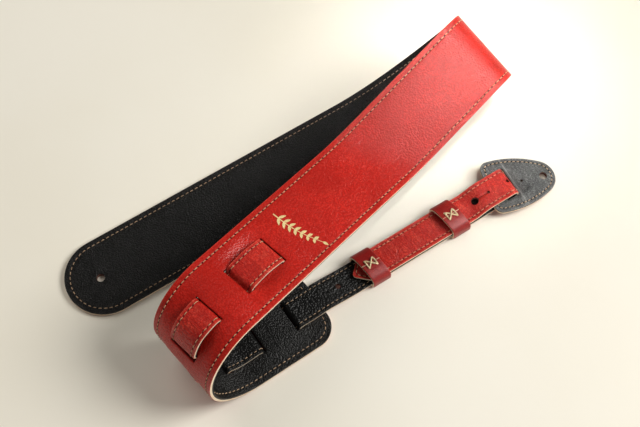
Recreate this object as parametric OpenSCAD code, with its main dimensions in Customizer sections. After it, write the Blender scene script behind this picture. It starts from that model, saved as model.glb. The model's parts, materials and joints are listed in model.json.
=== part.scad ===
// Guitar strap lying on a table: a wide two-layer leather strap folded back on itself,
// a narrow adjuster strap laced through eight slots, two sliding keepers and an end tab.
// Row frame: origin at the front button hole on the table plane, +Z up, millimetres.

/* [Main strap] */
// Finished width of the wide strap
strap_width = 64; // [50:1:80]
// Length from the round end to the slotted end
strap_length = 917; // [850:1:980]
// Thickness of the coloured face leather
strap_face = 2.2; // [1.5:0.1:3]
// Thickness of the black lining leather
strap_lining = 1.4; // [0.8:0.1:2]
// Corner radius of the slotted end
tail_corner = 18; // [8:1:28]
// Distance of the stitch line from the cut edge
strap_inset = 4.6; // [3:0.1:6]

/* [Front button hole] */
// Distance of the hole centre from the round end
hole_from_end = 28; // [20:1:40]
// Diameter of the button hole
hole_diameter = 6.5; // [5:0.5:9]

/* [How the strap lies] */
// Direction of the front leg on the table, degrees from +X
lay_angle = 32.4; // [0:0.1:90]
// Rise off the table: start, length, angle and skew
rise_bend = [277.6, 90.3, 40.24, 27.8];
// Folded-back roll: start, length, angle and skew
fold_bend = [375.5, 58.1, 151.0, 5.3];
// Slight bend back of the upper run: start, length, angle and skew
sag_bend = [517.3, 38.6, -24.4, -29.9];
// Curl down to the table: start, length, angle and skew
curl_bend = [711.3, 131.2, 190.99, 6.98];
// Distance of the fold hinge from the round end, on the roll
fold_hinge_at = 394; // [385:0.5:410]
// Length left open at the fold hinge, where the leather flexes
fold_gap = 2; // [1:0.5:4]

/* [Slots] */
// Distance of the first slot from the round end
slot_start = 661.5; // [600:0.5:700]
// Spacing of the slots
slot_pitch = 33; // [25:0.5:40]
// Number of slots
slot_count = 8; // [2:2:12]
// Length of a slot across the strap
slot_length = 26.4; // [24:0.1:32]
// Width of a slot when the adjuster holds it open
slot_width = 7.4; // [3:0.1:9]
// How far the leather between two slots bulges where the adjuster is outside
bulge_outside = 2.6; // [0:0.1:4]
// How far it bulges the other way where the adjuster is inside
bulge_inside = 0.6; // [0:0.1:2]
// Extra arch of the adjuster in the first two outside windows
window_arch = 3; // [0:0.1:6]

/* [Adjuster] */
// Width of the adjuster strap
adjuster_width = 24.6; // [18:0.1:30]
// Thickness of its coloured face
adjuster_face = 1.7; // [1:0.1:2.5]
// Thickness of its black lining
adjuster_lining = 1.3; // [0.8:0.1:2]
// Distance of its stitch line from the edge
adjuster_inset = 2.9; // [2:0.1:4]
// Its hidden end, measured from the strap's round end
adjuster_start = 636; // [620:1:650]
// Free run from the slotted end to the tip of the returned end
tip_position = 33.5; // [20:0.5:60]
// Turn of the free run away from the slotted end's direction, degrees
run_turn = -1.5; // [-10:0.1:10]
// Height of the free run's underside above the table
run_height = 2.2; // [2:0.1:4]
// Hole in the single layer, distance from the slotted end
run_hole = 19.3; // [15:0.1:30]
// Diameter of that hole
run_hole_diameter = 4; // [2:0.5:8]
// Keyhole centre on the returned layer
keyhole_position = 149; // [140:0.5:158]
// Diameter of the keyhole's round end
keyhole_diameter = 6; // [4:0.5:9]
// Length of the keyhole's slit
keyhole_slit = 13; // [8:0.5:18]

/* [Keepers] */
// Width of a keeper band along the adjuster
keeper_width = 16; // [10:0.5:24]
// Leather thickness of a keeper
keeper_thickness = 1.8; // [1:0.1:2.5]
// Lower keeper centre from the slotted end
lower_keeper_at = 49.3; // [45:0.1:70]
// Upper keeper centre from the slotted end
upper_keeper_at = 125.3; // [100:0.1:131]
// Diameter of the lacing cord
lacing_diameter = 1.2; // [0.5:0.1:1.5]

/* [End tab] */
// Length of the tab
tab_length = 58.5; // [45:0.5:75]
// Greatest width of the tab
tab_width = 46; // [35:0.5:60]
// Face leather thickness of the tab
tab_face = 1.9; // [1.2:0.1:2.5]
// Lining thickness of the tab
tab_lining_thickness = 1.4; // [0.8:0.1:2]
// Width of the web the adjuster loops round
tab_web = 12; // [8:0.5:16]
// Button hole centre from the tip
tab_hole_from_tip = 10; // [8:0.5:16]
// Slot in the tab, across and along
tab_slot = [29, 12];
// Turn of the tab from the adjuster's line, degrees
tab_turn = -16; // [-16:0.5:16]
// Droop of the tab to the table, degrees
tab_droop = 6; // [0:0.5:10]
// Diameter of the small relief hole in the tab
relief_diameter = 2.2; // [1:0.1:4]

/* [Hidden] */
$fn = 48;
red_leather = [0.74, 0.14, 0.12];
black_leather = [0.09, 0.09, 0.1];
cream_thread = [0.9, 0.82, 0.66];

glue = 0.02;                              // half the glue line between two layers
slip = 0.54;                              // clearance where one leather slides over another
thread_width = 0.8;
thread_height = 0.2;
thread_lift = 0.02;
strap_thread_lift = 0.08;                 // more on the wide strap, whose bends have longer chords
half_width = strap_width / 2;
adjuster_half = adjuster_width / 2;
slot_half = slot_length / 2;
fade_end = 26;                            // where the bulge between slots has died away
last_slot = slot_start + slot_pitch * (slot_count - 1);
window_mid = slot_start + slot_pitch / 2;
bulge_mean = (bulge_outside - bulge_inside) / 2;
bulge_swing = (bulge_outside + bulge_inside) / 2;
inside_line = strap_lining + slip + adjuster_face;
outside_line = -(strap_face + slip + adjuster_lining);
weave_mean = (inside_line + outside_line) / 2;
weave_swing = (inside_line - outside_line) / 2;
weave_steepness = 9;
arch_span = 4 * slot_pitch;               // the arch is only in the first two outside windows
front_end = fold_hinge_at - fold_gap / 2;
rear_start = fold_hinge_at + fold_gap / 2;
fold_end = fold_bend[0] + fold_bend[1] + 3; // past the end of the fold's roll
square_again = 520;                       // past here the rows across the strap are square to it
flat_end = 255;                           // the front leg is flat on the table up to here
hinge_gap = 3;                            // half the gap at the adjuster's flex line
flex_at = 7;                              // flex line, past the slotted end
run_start = flex_at + hinge_gap;

// ---- a strip bent by one cylinder roll, in the strip's own coordinates ----
function rolled(p, s, w, b) =
    let (
        c = cos(b[3]),
        n = sin(b[3]),
        across = (s - b[0]) * c + w * n,
        x = (p[0] - b[0]) * c + p[1] * n,
        y = p[1] * c - (p[0] - b[0]) * n,
        z = p[2],
        r = b[1] / (b[2] * PI / 180),
        a = min(max(across / b[1], 0), 1) * b[2],
        past = max(across, b[1]) == across,
        u = across <= 0 ? x : past ? r * sin(a) + (x - b[1]) * cos(a) - z * sin(a) : (r - z) * sin(a),
        v = across <= 0 ? z : past ? r - r * cos(a) + (x - b[1]) * sin(a) + z * cos(a) : r - (r - z) * cos(a)
    )
    [b[0] + u * c - y * n, u * n + y * c, v];

function laid(p) =
    let (x = p[0] - hole_from_end)
    [x * cos(lay_angle) - p[1] * sin(lay_angle),
     x * sin(lay_angle) + p[1] * cos(lay_angle),
     p[2] + strap_face];

// a point of the main strap: s along, w across, h out of the glue line towards the lining
function strap_point(s, w, h) =
    let (
        p4 = rolled([s, w, h], s, w, curl_bend),
        p3 = rolled(p4, s, w, sag_bend),
        p2 = rolled(p3, s, w, fold_bend),
        p1 = rolled(p2, s, w, rise_bend)
    )
    laid(p1);

// ---- the weave ----
function wave(s) = cos(180 * (s - window_mid) / slot_pitch);
function in_slots(s) =
    let (d = max(slot_start - s, s - last_slot, 0) / slot_pitch)
    d >= 1 ? 0 : (1 + cos(180 * d)) / 2;
function fade(w) =
    let (d = (abs(w) - slot_half) / (fade_end - slot_half))
    d <= 0 ? 1 : d >= 1 ? 0 : (1 + cos(180 * d)) / 2;
function bulge(s, w) = (bulge_mean + bulge_swing * wave(s)) * in_slots(s) * fade(w);
function bulged_point(s, w, h) = strap_point(s, w, h + bulge(s, w));

function side(s) =
    let (
        near = min(max(s, slot_start - slot_pitch / 2), last_slot + slot_pitch / 2),
        u = weave_steepness * wave(near)
    )
    -u / sqrt(1 + u * u) * sqrt(1 + weave_steepness * weave_steepness) / weave_steepness;
function arch(s) = s > slot_start && s < slot_start + arch_span - slot_pitch
    ? window_arch * pow(max(0, wave(s)), 2) : 0;
function weave_line(s) = bulge(s, 0) + weave_mean + weave_swing * side(s) - arch(s);
function weave_slope(s) = (weave_line(s + 0.05) - weave_line(s - 0.05)) / 0.1;
function adjuster_point(s, w, d) =
    let (
        m = weave_slope(s),
        k = sqrt(1 + m * m)
    )
    strap_point(s - d * m / k, w, weave_line(s) + d / k);

// rows across the strap turn to lie along the roll's axis near the fold hinge
function slant(s) =
    let (
        before = (s - flat_end) / (front_end - flat_end),
        after = (square_again - s) / (square_again - rear_start)
    )
    max(0, min(1, before, after)) * tan(fold_bend[3]);
function row_point(s, w, h) = bulged_point(s - w * slant(s), w, h);

// ---- solids from rows of points ----
// a bar through stations of four corners each
module bar(stations) {
    n = len(stations);
    points = [for (q = stations) each q];
    walls = [for (i = [0 : n - 2]) for (k = [0 : 3])
        let (
            a = 4 * i + k,
            b = 4 * i + (k + 1) % 4
        )
        each [[a, b, b + 4], [a, b + 4, a + 4]]];
    start = [[3, 2, 1], [3, 1, 0]];
    last = 4 * (n - 1);
    end = [[last, last + 1, last + 2], [last, last + 2, last + 3]];
    polyhedron(points, concat(walls, start, end));
}

// a sheet over a grid of rows and columns, two skins, with the cells in "open" left out
module sheet(lower, upper, open) {
    n = len(lower);
    m = len(lower[0]);
    skin = n * m;
    points = concat([for (r = lower) each r], [for (r = upper) each r]);
    cells = [for (i = [0 : n - 2]) for (j = [0 : m - 2]) if (!open[i][j]) [i, j]];
    skins = [for (q = cells)
        let (
            a = q[0] * m + q[1],
            b = a + m,
            c = b + 1,
            d = a + 1
        )
        each [
            [a, b, c], [a, c, d],
            [a + skin, c + skin, b + skin], [a + skin, d + skin, c + skin]
        ]];
    rims = [for (q = cells)
        let (
            i = q[0],
            j = q[1],
            a = i * m + j,
            b = a + m,
            c = b + 1,
            d = a + 1,
            sides = [
                if (i == 0 || open[i - 1][j]) [d, a],
                if (i == n - 2 || open[i + 1][j]) [b, c],
                if (j == 0 || open[i][j - 1]) [a, b],
                if (j == m - 2 || open[i][j + 1]) [c, d]
            ]
        )
        each [for (e = sides) each [[e[1], e[0], e[0] + skin], [e[1], e[0] + skin, e[1] + skin]]]];
    polyhedron(points, concat(skins, rims));
}

// ---- main strap ----
front_count = 28;
front_rows = [for (i = [0 : front_count]) flat_end + (front_end - flat_end) * i / front_count];
front_columns = [for (i = [-4 : 4]) half_width * i / 4];
slot_rows = [for (i = [0 : slot_count - 1]) let (c = slot_start + i * slot_pitch)
    each [c - slot_width / 2, c + slot_width / 2, c + slot_pitch * 0.24, c + slot_pitch * 0.37,
        c + slot_pitch * 0.5, c + slot_pitch * 0.63, c + slot_pitch * 0.76]];
fold_rows = [for (i = [0 : 8]) rear_start + (fold_end - rear_start) * i / 9];
plain_end = slot_start - slot_pitch * 0.24;
plain_rows = [for (i = [0 : 26]) fold_end + (plain_end - fold_end) * i / 26];
used_slot_rows = [for (s = slot_rows) if (s < strap_length - tail_corner - 1) s];
tail_rows = [for (a = [0 : 15 : 90]) strap_length - tail_corner + tail_corner * sin(a)];
rear_rows = concat(fold_rows, plain_rows, used_slot_rows, tail_rows);
rear_columns = [-half_width, -27, -22, -17.5, -slot_half, -6.6, 0, 6.6, slot_half, 17.5, 22, 27, half_width];
function tail_width(s) =
    let (d = s - (strap_length - tail_corner))
    d <= 0 ? half_width : half_width - tail_corner + sqrt(max(0, tail_corner * tail_corner - d * d));
function slot_here(a, b) = len([for (i = [0 : slot_count - 1])
    if (abs((a + b) / 2 - slot_start - i * slot_pitch) < slot_width / 4) i]) > 0;

module round_end_plate(low, high) {
    translate([0, 0, strap_face + low])
        rotate([0, 0, lay_angle])
            translate([-hole_from_end, 0, 0])
                linear_extrude(high - low)
                    union() {
                        translate([half_width, 0])
                            circle(half_width);
                        translate([half_width, -half_width])
                            square([flat_end + 0.5 - half_width, strap_width]);
                    }
}

module front_layer(low, high) {
    difference() {
        union() {
            round_end_plate(low, high);
            sheet(
                [for (s = front_rows) [for (w = front_columns) row_point(s, w, low)]],
                [for (s = front_rows) [for (w = front_columns) row_point(s, w, high)]],
                [for (s = front_rows) [for (w = front_columns) false]]
            );
        }
        translate([0, 0, -1])
            cylinder(h = strap_face + strap_lining + 2, d = hole_diameter);
    }
}

module rear_layer(low, high) {
    open = [for (i = [0 : len(rear_rows) - 2]) [for (j = [0 : len(rear_columns) - 2])
        slot_here(rear_rows[i], rear_rows[i + 1])
        && abs(rear_columns[j] + rear_columns[j + 1]) / 2 < slot_half]];
    sheet(
        [for (s = rear_rows) [for (w = rear_columns) row_point(s, w * tail_width(s) / half_width, low)]],
        [for (s = rear_rows) [for (w = rear_columns) row_point(s, w * tail_width(s) / half_width, high)]],
        open
    );
}

module main_face_front() { color(red_leather) front_layer(-strap_face, -glue); }
module main_lining_front() { color(black_leather) front_layer(glue, strap_lining); }
module main_face_rear() { color(red_leather) rear_layer(-strap_face, -glue); }
module main_lining_rear() { color(black_leather) rear_layer(glue, strap_lining); }

// stitch line of the main strap: [s, w, sideways s, sideways w] at each station
seam_half = half_width - strap_inset;
front_seam = concat(
    [for (i = [front_count : -1 : 0]) [front_rows[i], seam_half, 0, 1]],
    [for (a = [90 : 15 : 270]) [half_width + seam_half * cos(a), seam_half * sin(a), cos(a), sin(a)]],
    [for (s = front_rows) [s, -seam_half, 0, -1]]
);
tail_seam = tail_corner - strap_inset;
tail_centre = [strap_length - tail_corner, half_width - tail_corner];
side_rows = [for (s = rear_rows) if (s < tail_centre[0] - 0.1) s];
rear_seam = concat(
    [for (s = side_rows) [s, seam_half, 0, 1]],
    [for (a = [90 : -18 : 0]) [tail_centre[0] + tail_seam * cos(a), tail_centre[1] + tail_seam * sin(a),
        cos(a), sin(a)]],
    [for (a = [0 : -18 : -90]) [tail_centre[0] + tail_seam * cos(a), -tail_centre[1] + tail_seam * sin(a),
        cos(a), sin(a)]],
    [for (i = [len(side_rows) - 1 : -1 : 0]) [side_rows[i], -seam_half, 0, -1]]
);
needle_low = -strap_face - strap_thread_lift - thread_height;
bobbin_low = strap_lining + strap_thread_lift;

module strap_seam(path, low) {
    color(cream_thread)
        bar([for (q = path)
            let (
                outer = [q[0] + q[2] * thread_width / 2, q[1] + q[3] * thread_width / 2],
                inner = [q[0] - q[2] * thread_width / 2, q[1] - q[3] * thread_width / 2]
            )
            [
                row_point(inner[0], inner[1], low),
                row_point(outer[0], outer[1], low),
                row_point(outer[0], outer[1], low + thread_height),
                row_point(inner[0], inner[1], low + thread_height)
            ]]);
}

module main_needle_thread_front() { strap_seam(front_seam, needle_low); }
module main_bobbin_thread_front() { strap_seam(front_seam, bobbin_low); }
module main_needle_thread_rear() { strap_seam(rear_seam, needle_low); }
module main_bobbin_thread_rear() { strap_seam(rear_seam, bobbin_low); }

// ---- woven part of the adjuster ----
woven_end = strap_length + flex_at - hinge_gap;
woven_corner = 8;
woven_steps = [0, 1.2, 2, 2.8, 3.8, 5, 6.5, 8.5, 11, 13.8];
woven_rows = concat(
    [for (a = [0 : 22.5 : 90]) adjuster_start + woven_corner * (1 - cos(a))],
    [for (i = [0 : slot_count - 1]) let (c = slot_start + i * slot_pitch)
        each concat(
            [for (k = [len(woven_steps) - 1 : -1 : 1]) c - woven_steps[k]],
            [for (d = woven_steps) c + d],
            [c + slot_pitch / 2])],
    [woven_end - 8, woven_end - 4, woven_end]
);
function woven_width(s) =
    let (d = woven_corner - (s - adjuster_start))
    d <= 0 ? adjuster_half
        : adjuster_half - woven_corner + sqrt(max(0, woven_corner * woven_corner - d * d));

module woven_layer(low, high) {
    bar([for (s = woven_rows) let (b = woven_width(s)) [
        adjuster_point(s, -b, low),
        adjuster_point(s, b, low),
        adjuster_point(s, b, high),
        adjuster_point(s, -b, high)
    ]]);
}

module adjuster_face_woven() { color(red_leather) woven_layer(-adjuster_face, -glue); }
module adjuster_lining_woven() { color(black_leather) woven_layer(glue, adjuster_lining); }

woven_seam_half = adjuster_half - adjuster_inset;
woven_seam_corner = woven_corner - adjuster_inset;
woven_seam_centre = woven_seam_half - woven_seam_corner;
seam_rows = [for (s = woven_rows) if (s > adjuster_start + woven_corner + 0.1) s];
woven_seam = concat(
    [for (i = [len(seam_rows) - 1 : -1 : 0]) [seam_rows[i], woven_seam_half, 0, 1]],
    [for (a = [90 : 30 : 180]) [adjuster_start + woven_corner + woven_seam_corner * cos(a),
        woven_seam_centre + woven_seam_corner * sin(a), cos(a), sin(a)]],
    [for (a = [180 : 30 : 270]) [adjuster_start + woven_corner + woven_seam_corner * cos(a),
        -woven_seam_centre + woven_seam_corner * sin(a), cos(a), sin(a)]],
    [for (s = seam_rows) [s, -woven_seam_half, 0, -1]]
);

module woven_seam_bar(low) {
    color(cream_thread)
        bar([for (q = woven_seam)
            let (
                outer = [q[0] + q[2] * thread_width / 2, q[1] + q[3] * thread_width / 2],
                inner = [q[0] - q[2] * thread_width / 2, q[1] - q[3] * thread_width / 2]
            )
            [
                adjuster_point(inner[0], inner[1], low),
                adjuster_point(outer[0], outer[1], low),
                adjuster_point(outer[0], outer[1], low + thread_height),
                adjuster_point(inner[0], inner[1], low + thread_height)
            ]]);
}

adjuster_needle_low = -adjuster_face - thread_lift - thread_height;
adjuster_bobbin_low = adjuster_lining + thread_lift;
module adjuster_needle_thread_woven() { woven_seam_bar(adjuster_needle_low); }
module adjuster_bobbin_thread_woven() { woven_seam_bar(adjuster_bobbin_low); }

// ---- free run of the adjuster, in its own frame: x from the slotted end, z from the table ----
tail_end = strap_point(strap_length, 0, 0);
tail_back = strap_point(strap_length - 20, 0, 0);
run_heading = atan2(tail_end[1] - tail_back[1], tail_end[0] - tail_back[0]) + run_turn;
woven_glue_z = tail_end[2] + inside_line;
adjuster_thickness = adjuster_face + adjuster_lining;
layer_gap = 0.5;                          // room for both rows of thread between the two layers
lower_top_z = run_height + adjuster_thickness + thread_lift + thread_height + 0.02;
low_glue_z = run_height + adjuster_face;
top_glue_z = run_height + adjuster_thickness + layer_gap + adjuster_lining;
loop_inner = 2.7;                         // inside radius of the loop round the tab's web
loop_at = 178.3;                          // loop centre from the slotted end
loop_radius = loop_inner + adjuster_lining;
high_glue_z = low_glue_z + 2 * loop_radius;
crest_from = 157;                         // the returned layer is raised from here to the loop
crest_foot = 139.5;                       // and flat below it from here to the tip
run_line = concat(
    [[run_start, woven_glue_z], [run_start + 4, woven_glue_z - 0.25], [run_start + 9, woven_glue_z - 1.1],
        [run_start + 14, woven_glue_z - 1.9], [run_start + 20, low_glue_z]],
    [for (a = [-90 : 15 : 90]) [loop_at + loop_radius * cos(a), low_glue_z + loop_radius * (1 + sin(a))]],
    [[crest_from, high_glue_z], [crest_from - 4, high_glue_z - 0.5],
        [crest_foot + 4, top_glue_z + 0.5], [crest_foot, top_glue_z], [tip_position, top_glue_z]]
);
function run_normal(i) =
    let (
        n = len(run_line),
        a = run_line[max(i - 1, 0)],
        b = run_line[i],
        c = run_line[min(i + 1, n - 1)],
        u = i == 0 ? [1, 0] : (b - a) / norm(b - a),
        v = i == n - 1 ? [-1, 0] : (c - b) / norm(c - b),
        m = u + v,
        t = m / norm(m),
        k = 1 / (t * u)
    )
    [-t[1], t[0]] * k;
function run_offset(d) = [for (i = [0 : len(run_line) - 1]) run_line[i] + run_normal(i) * d];
function reversed(v) = [for (i = [len(v) - 1 : -1 : 0]) v[i]];

module in_run_frame() {
    translate([tail_end[0], tail_end[1], 0])
        rotate([0, 0, run_heading])
            children();
}

module run_strip(low, high, across, width) {
    translate([0, across + width / 2, 0])
        rotate([90, 0, 0])
            linear_extrude(width)
                polygon(concat(run_offset(low), reversed(run_offset(high))));
}

// pointed tip of the returned end: two long cuts and a blunt nose, seen from above
tip_taper = 11;                           // length of the point
tip_nose = 3;                             // half width of the blunt nose
module tip_cut(inset) {
    translate([0, 0, lower_top_z])
        linear_extrude(top_glue_z)
            for (k = [-1, 1])
                polygon([
                    [tip_position - 1, k * (tip_nose - inset / 2)],
                    [tip_position + inset, k * (tip_nose - inset / 2)],
                    [tip_position + inset + tip_taper, k * (adjuster_half - inset)],
                    [tip_position + inset + tip_taper, k * (adjuster_half + 1)],
                    [tip_position - 1, k * (adjuster_half + 1)]
                ]);
}

module run_layer(low, high) {
    in_run_frame()
        difference() {
            run_strip(low, high, 0, adjuster_width);
            tip_cut(0);
            translate([run_hole, 0, -1])
                cylinder(h = low_glue_z + adjuster_lining + 4, d = run_hole_diameter);
            translate([keyhole_position, 0, lower_top_z])
                cylinder(h = high_glue_z, d = keyhole_diameter);
            translate([keyhole_position + keyhole_slit, 0, lower_top_z])
                cylinder(h = high_glue_z, d = keyhole_diameter / 2.5);
            translate([keyhole_position, -0.3, lower_top_z])
                cube([keyhole_slit, 0.6, high_glue_z]);
            translate([loop_at, 0, low_glue_z + loop_radius])
                rotate([0, 45, 0])
                    cylinder(h = loop_radius + adjuster_face + 2, d = run_hole_diameter);
        }
}

module adjuster_face_run() { color(red_leather) run_layer(-adjuster_face, -glue); }
module adjuster_lining_run() { color(black_leather) run_layer(glue, adjuster_lining); }

module run_seam(low) {
    color(cream_thread)
        in_run_frame()
            for (k = [-1, 1])
                difference() {
                    run_strip(low, low + thread_height, k * woven_seam_half, thread_width);
                    tip_cut(adjuster_inset);
                }
}

module adjuster_needle_thread_run() { run_seam(adjuster_needle_low); }
module adjuster_bobbin_thread_run() { run_seam(adjuster_bobbin_low); }

// ---- keepers ----
cavity_half = adjuster_half + 0.8;
cavity_floor = run_height - 0.28;
cavity_top = top_glue_z + adjuster_face + thread_lift + thread_height + 0.15;
band_corner = 2.4;
band_rise = 3.3;                          // how far the arched top stands off the adjuster
band_top = cavity_top + band_rise;        // inside of the band at the joint
band_squareness = 2.6;                    // 2 is an ellipse, more is squarer
band_steps = 36;
lacing_reach = 3.8;                       // half length of the lacing along the band
lacing_spread = 3.8;                      // half width of the lacing across the joint
joint_gap = 0.3;
hole_clearance = 0.1;

// point at an angle on an arch of squarish ellipse, from its half width and height
function arch_point(angle, wide, tall) =
    [wide * sign(cos(angle)) * pow(abs(cos(angle)), 2 / band_squareness),
     tall * pow(sin(angle), 2 / band_squareness)];

// flat underneath, with an arched top
module band_section(grow) {
    wide = cavity_half + grow;
    waist = (cavity_top - cavity_floor) / 2 + grow;
    arch = band_top + grow - (cavity_top + cavity_floor) / 2;
    corner = band_corner * (grow > 0 ? 1.3 : 0.4);
    translate([0, cavity_floor - grow])
        union() {
            translate([0, waist])
                polygon([for (i = [0:band_steps]) arch_point(180 * i / band_steps, wide, arch)]);
            translate([-wide, corner])
                square([2 * wide, waist - corner + 0.01]);
            translate([corner - wide, 0])
                square([2 * (wide - corner), waist]);
            for (x = [corner - wide, wide - corner])
                translate([x, corner])
                    circle(corner);
        }
}

module keeper_band(centre) {
    color(red_leather)
        in_run_frame()
            difference() {
                translate([centre - keeper_width / 2, 0, 0])
                    rotate([90, 0, 90])
                        linear_extrude(keeper_width)
                            difference() {
                                band_section(keeper_thickness);
                                band_section(0);
                                translate([-joint_gap / 2, band_top - 1])
                                    square([joint_gap, keeper_thickness + 2]);
                            }
                for (x = [-lacing_reach, lacing_reach])
                    for (y = [-lacing_spread, lacing_spread])
                        translate([centre + x, y, band_top - 1])
                            cylinder(h = keeper_thickness + 2, d = lacing_diameter + 2 * hole_clearance);
            }
}

// one straight cord seen from above, from one point to another
module cord(from, to) {
    run = to - from;
    translate(from)
        rotate(atan2(run[1], run[0]))
            translate([-lacing_diameter / 2, -lacing_diameter / 2])
                square([norm(run) + lacing_diameter, lacing_diameter]);
}

module keeper_lacing(centre) {
    z = band_top + keeper_thickness + thread_lift;
    corners = [for (x = [-1, 1]) for (y = [-1, 1]) [centre + x * lacing_reach, y * lacing_spread]];
    color(cream_thread)
        in_run_frame()
            union() {
                translate([0, 0, z])
                    linear_extrude(lacing_diameter)
                        union() {
                            cord(corners[0], corners[3]);
                            cord(corners[1], corners[2]);
                            cord(corners[0], corners[1]);
                            cord(corners[2], corners[3]);
                        }
                for (q = corners)
                    translate([q[0], q[1], band_top + thread_lift])
                        cylinder(h = keeper_thickness + lacing_diameter / 2, d = lacing_diameter * 0.8);
            }
}

module lower_keeper_band() { keeper_band(lower_keeper_at); }
module lower_keeper_lacing() { keeper_lacing(lower_keeper_at); }
module upper_keeper_band() { keeper_band(upper_keeper_at); }
module upper_keeper_lacing() { keeper_lacing(upper_keeper_at); }

// ---- end tab, in its own plane: origin where the adjuster passes, x towards the tip ----
tab_left = -(tab_web + 3);
tab_tip = tab_left + tab_length;
tab_hole = tab_tip - tab_hole_from_tip;
web_clearance = 0.35;
tab_pivot = 178.8;                        // distance of the pivot from the slotted end
web_edge = tab_left + tab_web;
tab_base_z = run_height + adjuster_thickness + web_clearance;
tab_thickness = tab_face + tab_lining_thickness;
shoulder_radius = 7;
nose_radius = 15;
side_radius = 80;
tab_inset = 3.2;
shoulder_centre = [tab_left + shoulder_radius, tab_width / 2 - shoulder_radius];
nose_centre = [tab_tip - nose_radius, 0];
// centre of the long side arc that touches the shoulder and nose arcs
span = nose_centre - shoulder_centre;
reach_a = side_radius - shoulder_radius;
reach_b = side_radius - nose_radius;
along = (span * span + reach_a * reach_a - reach_b * reach_b) / (2 * norm(span));
drop = sqrt(reach_a * reach_a - along * along);
unit = span / norm(span);
side_centre = shoulder_centre + unit * along + [unit[1], -unit[0]] * drop;
side_from = atan2(shoulder_centre[1] - side_centre[1], shoulder_centre[0] - side_centre[0]);
side_to = atan2(nose_centre[1] - side_centre[1], nose_centre[0] - side_centre[0]);
function arc_points(c, r, from, to, steps) =
    [for (i = [0 : steps]) let (a = from + (to - from) * i / steps) c + r * [cos(a), sin(a)]];
function upper_outline(inset) = concat(
    arc_points(shoulder_centre, shoulder_radius - inset, 180, side_from, 6),
    arc_points(side_centre, side_radius - inset, side_from, side_to, 8),
    arc_points(nose_centre, nose_radius - inset, side_to, 0, 8)
);
function outline(inset) =
    let (up = upper_outline(inset))
    concat(up, [for (p = reversed(up)) if (p[1] > 0.01) [p[0], -p[1]]]);

module in_tab_frame() {
    in_run_frame()
        translate([tab_pivot, 0, tab_base_z])
            rotate([0, 0, tab_turn])
                translate([web_edge, 0, 0])
                    rotate([0, tab_droop, 0])
                        translate([-web_edge, 0, 0])
                            children();
}

module tab_plate(low, high) {
    in_tab_frame()
        difference() {
            translate([0, 0, low])
                linear_extrude(high - low)
                    polygon(outline(0));
            translate([web_edge, -tab_slot[0] / 2, low - 1])
                cube([tab_slot[1], tab_slot[0], high - low + 2]);
            translate([tab_hole, 0, low - 1])
                cylinder(h = high - low + 2, d = hole_diameter);
            translate([tab_hole - 19, 0, low - 1])
                cylinder(h = high - low + 2, d = relief_diameter);
        }
}

module tab_seam(low) {
    color(cream_thread)
        in_tab_frame()
            translate([0, 0, low])
                linear_extrude(thread_height)
                    difference() {
                        polygon(outline(tab_inset - thread_width / 2));
                        polygon(outline(tab_inset + thread_width / 2));
                    }
}

module tab_face() { color(red_leather) tab_plate(0, tab_face - glue); }
module tab_lining() { color(black_leather) tab_plate(tab_face + glue, tab_thickness); }
module tab_needle_thread() { tab_seam(tab_thickness + thread_lift); }
module tab_bobbin_thread() { tab_seam(-thread_lift - thread_height); }

main_face_front();
main_lining_front();
main_needle_thread_front();
main_bobbin_thread_front();
main_face_rear();
main_lining_rear();
main_needle_thread_rear();
main_bobbin_thread_rear();
adjuster_face_woven();
adjuster_lining_woven();
adjuster_needle_thread_woven();
adjuster_bobbin_thread_woven();
adjuster_face_run();
adjuster_lining_run();
adjuster_needle_thread_run();
adjuster_bobbin_thread_run();
lower_keeper_band();
lower_keeper_lacing();
upper_keeper_band();
upper_keeper_lacing();
tab_face();
tab_lining();
tab_needle_thread();
tab_bobbin_thread();
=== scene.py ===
"""A leather guitar strap lying folded on a table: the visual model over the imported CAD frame.

Millimetres are used for the strap's own sizes, and turned into metres when a mesh is made.
Strap coordinates: s runs from the round end, w across the strap, h out of the glue line towards
the black lining.
"""

import json
import math

import bmesh
import bpy
import numpy as np
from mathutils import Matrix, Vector


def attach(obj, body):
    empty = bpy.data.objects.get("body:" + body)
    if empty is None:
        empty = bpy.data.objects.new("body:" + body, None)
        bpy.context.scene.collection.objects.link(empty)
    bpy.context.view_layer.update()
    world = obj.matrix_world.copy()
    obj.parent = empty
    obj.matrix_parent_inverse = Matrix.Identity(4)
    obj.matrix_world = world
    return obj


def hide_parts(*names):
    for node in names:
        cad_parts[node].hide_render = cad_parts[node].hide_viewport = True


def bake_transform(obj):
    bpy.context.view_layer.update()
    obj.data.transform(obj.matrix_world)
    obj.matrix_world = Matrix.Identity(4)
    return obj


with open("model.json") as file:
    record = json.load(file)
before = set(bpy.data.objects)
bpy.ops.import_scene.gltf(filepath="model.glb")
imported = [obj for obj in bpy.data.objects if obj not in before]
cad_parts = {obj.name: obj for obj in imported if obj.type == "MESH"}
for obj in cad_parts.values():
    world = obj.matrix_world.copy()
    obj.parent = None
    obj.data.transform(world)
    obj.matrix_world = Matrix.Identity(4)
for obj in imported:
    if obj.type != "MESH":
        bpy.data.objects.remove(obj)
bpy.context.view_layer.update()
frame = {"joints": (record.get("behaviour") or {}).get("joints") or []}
MM = 0.001

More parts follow.
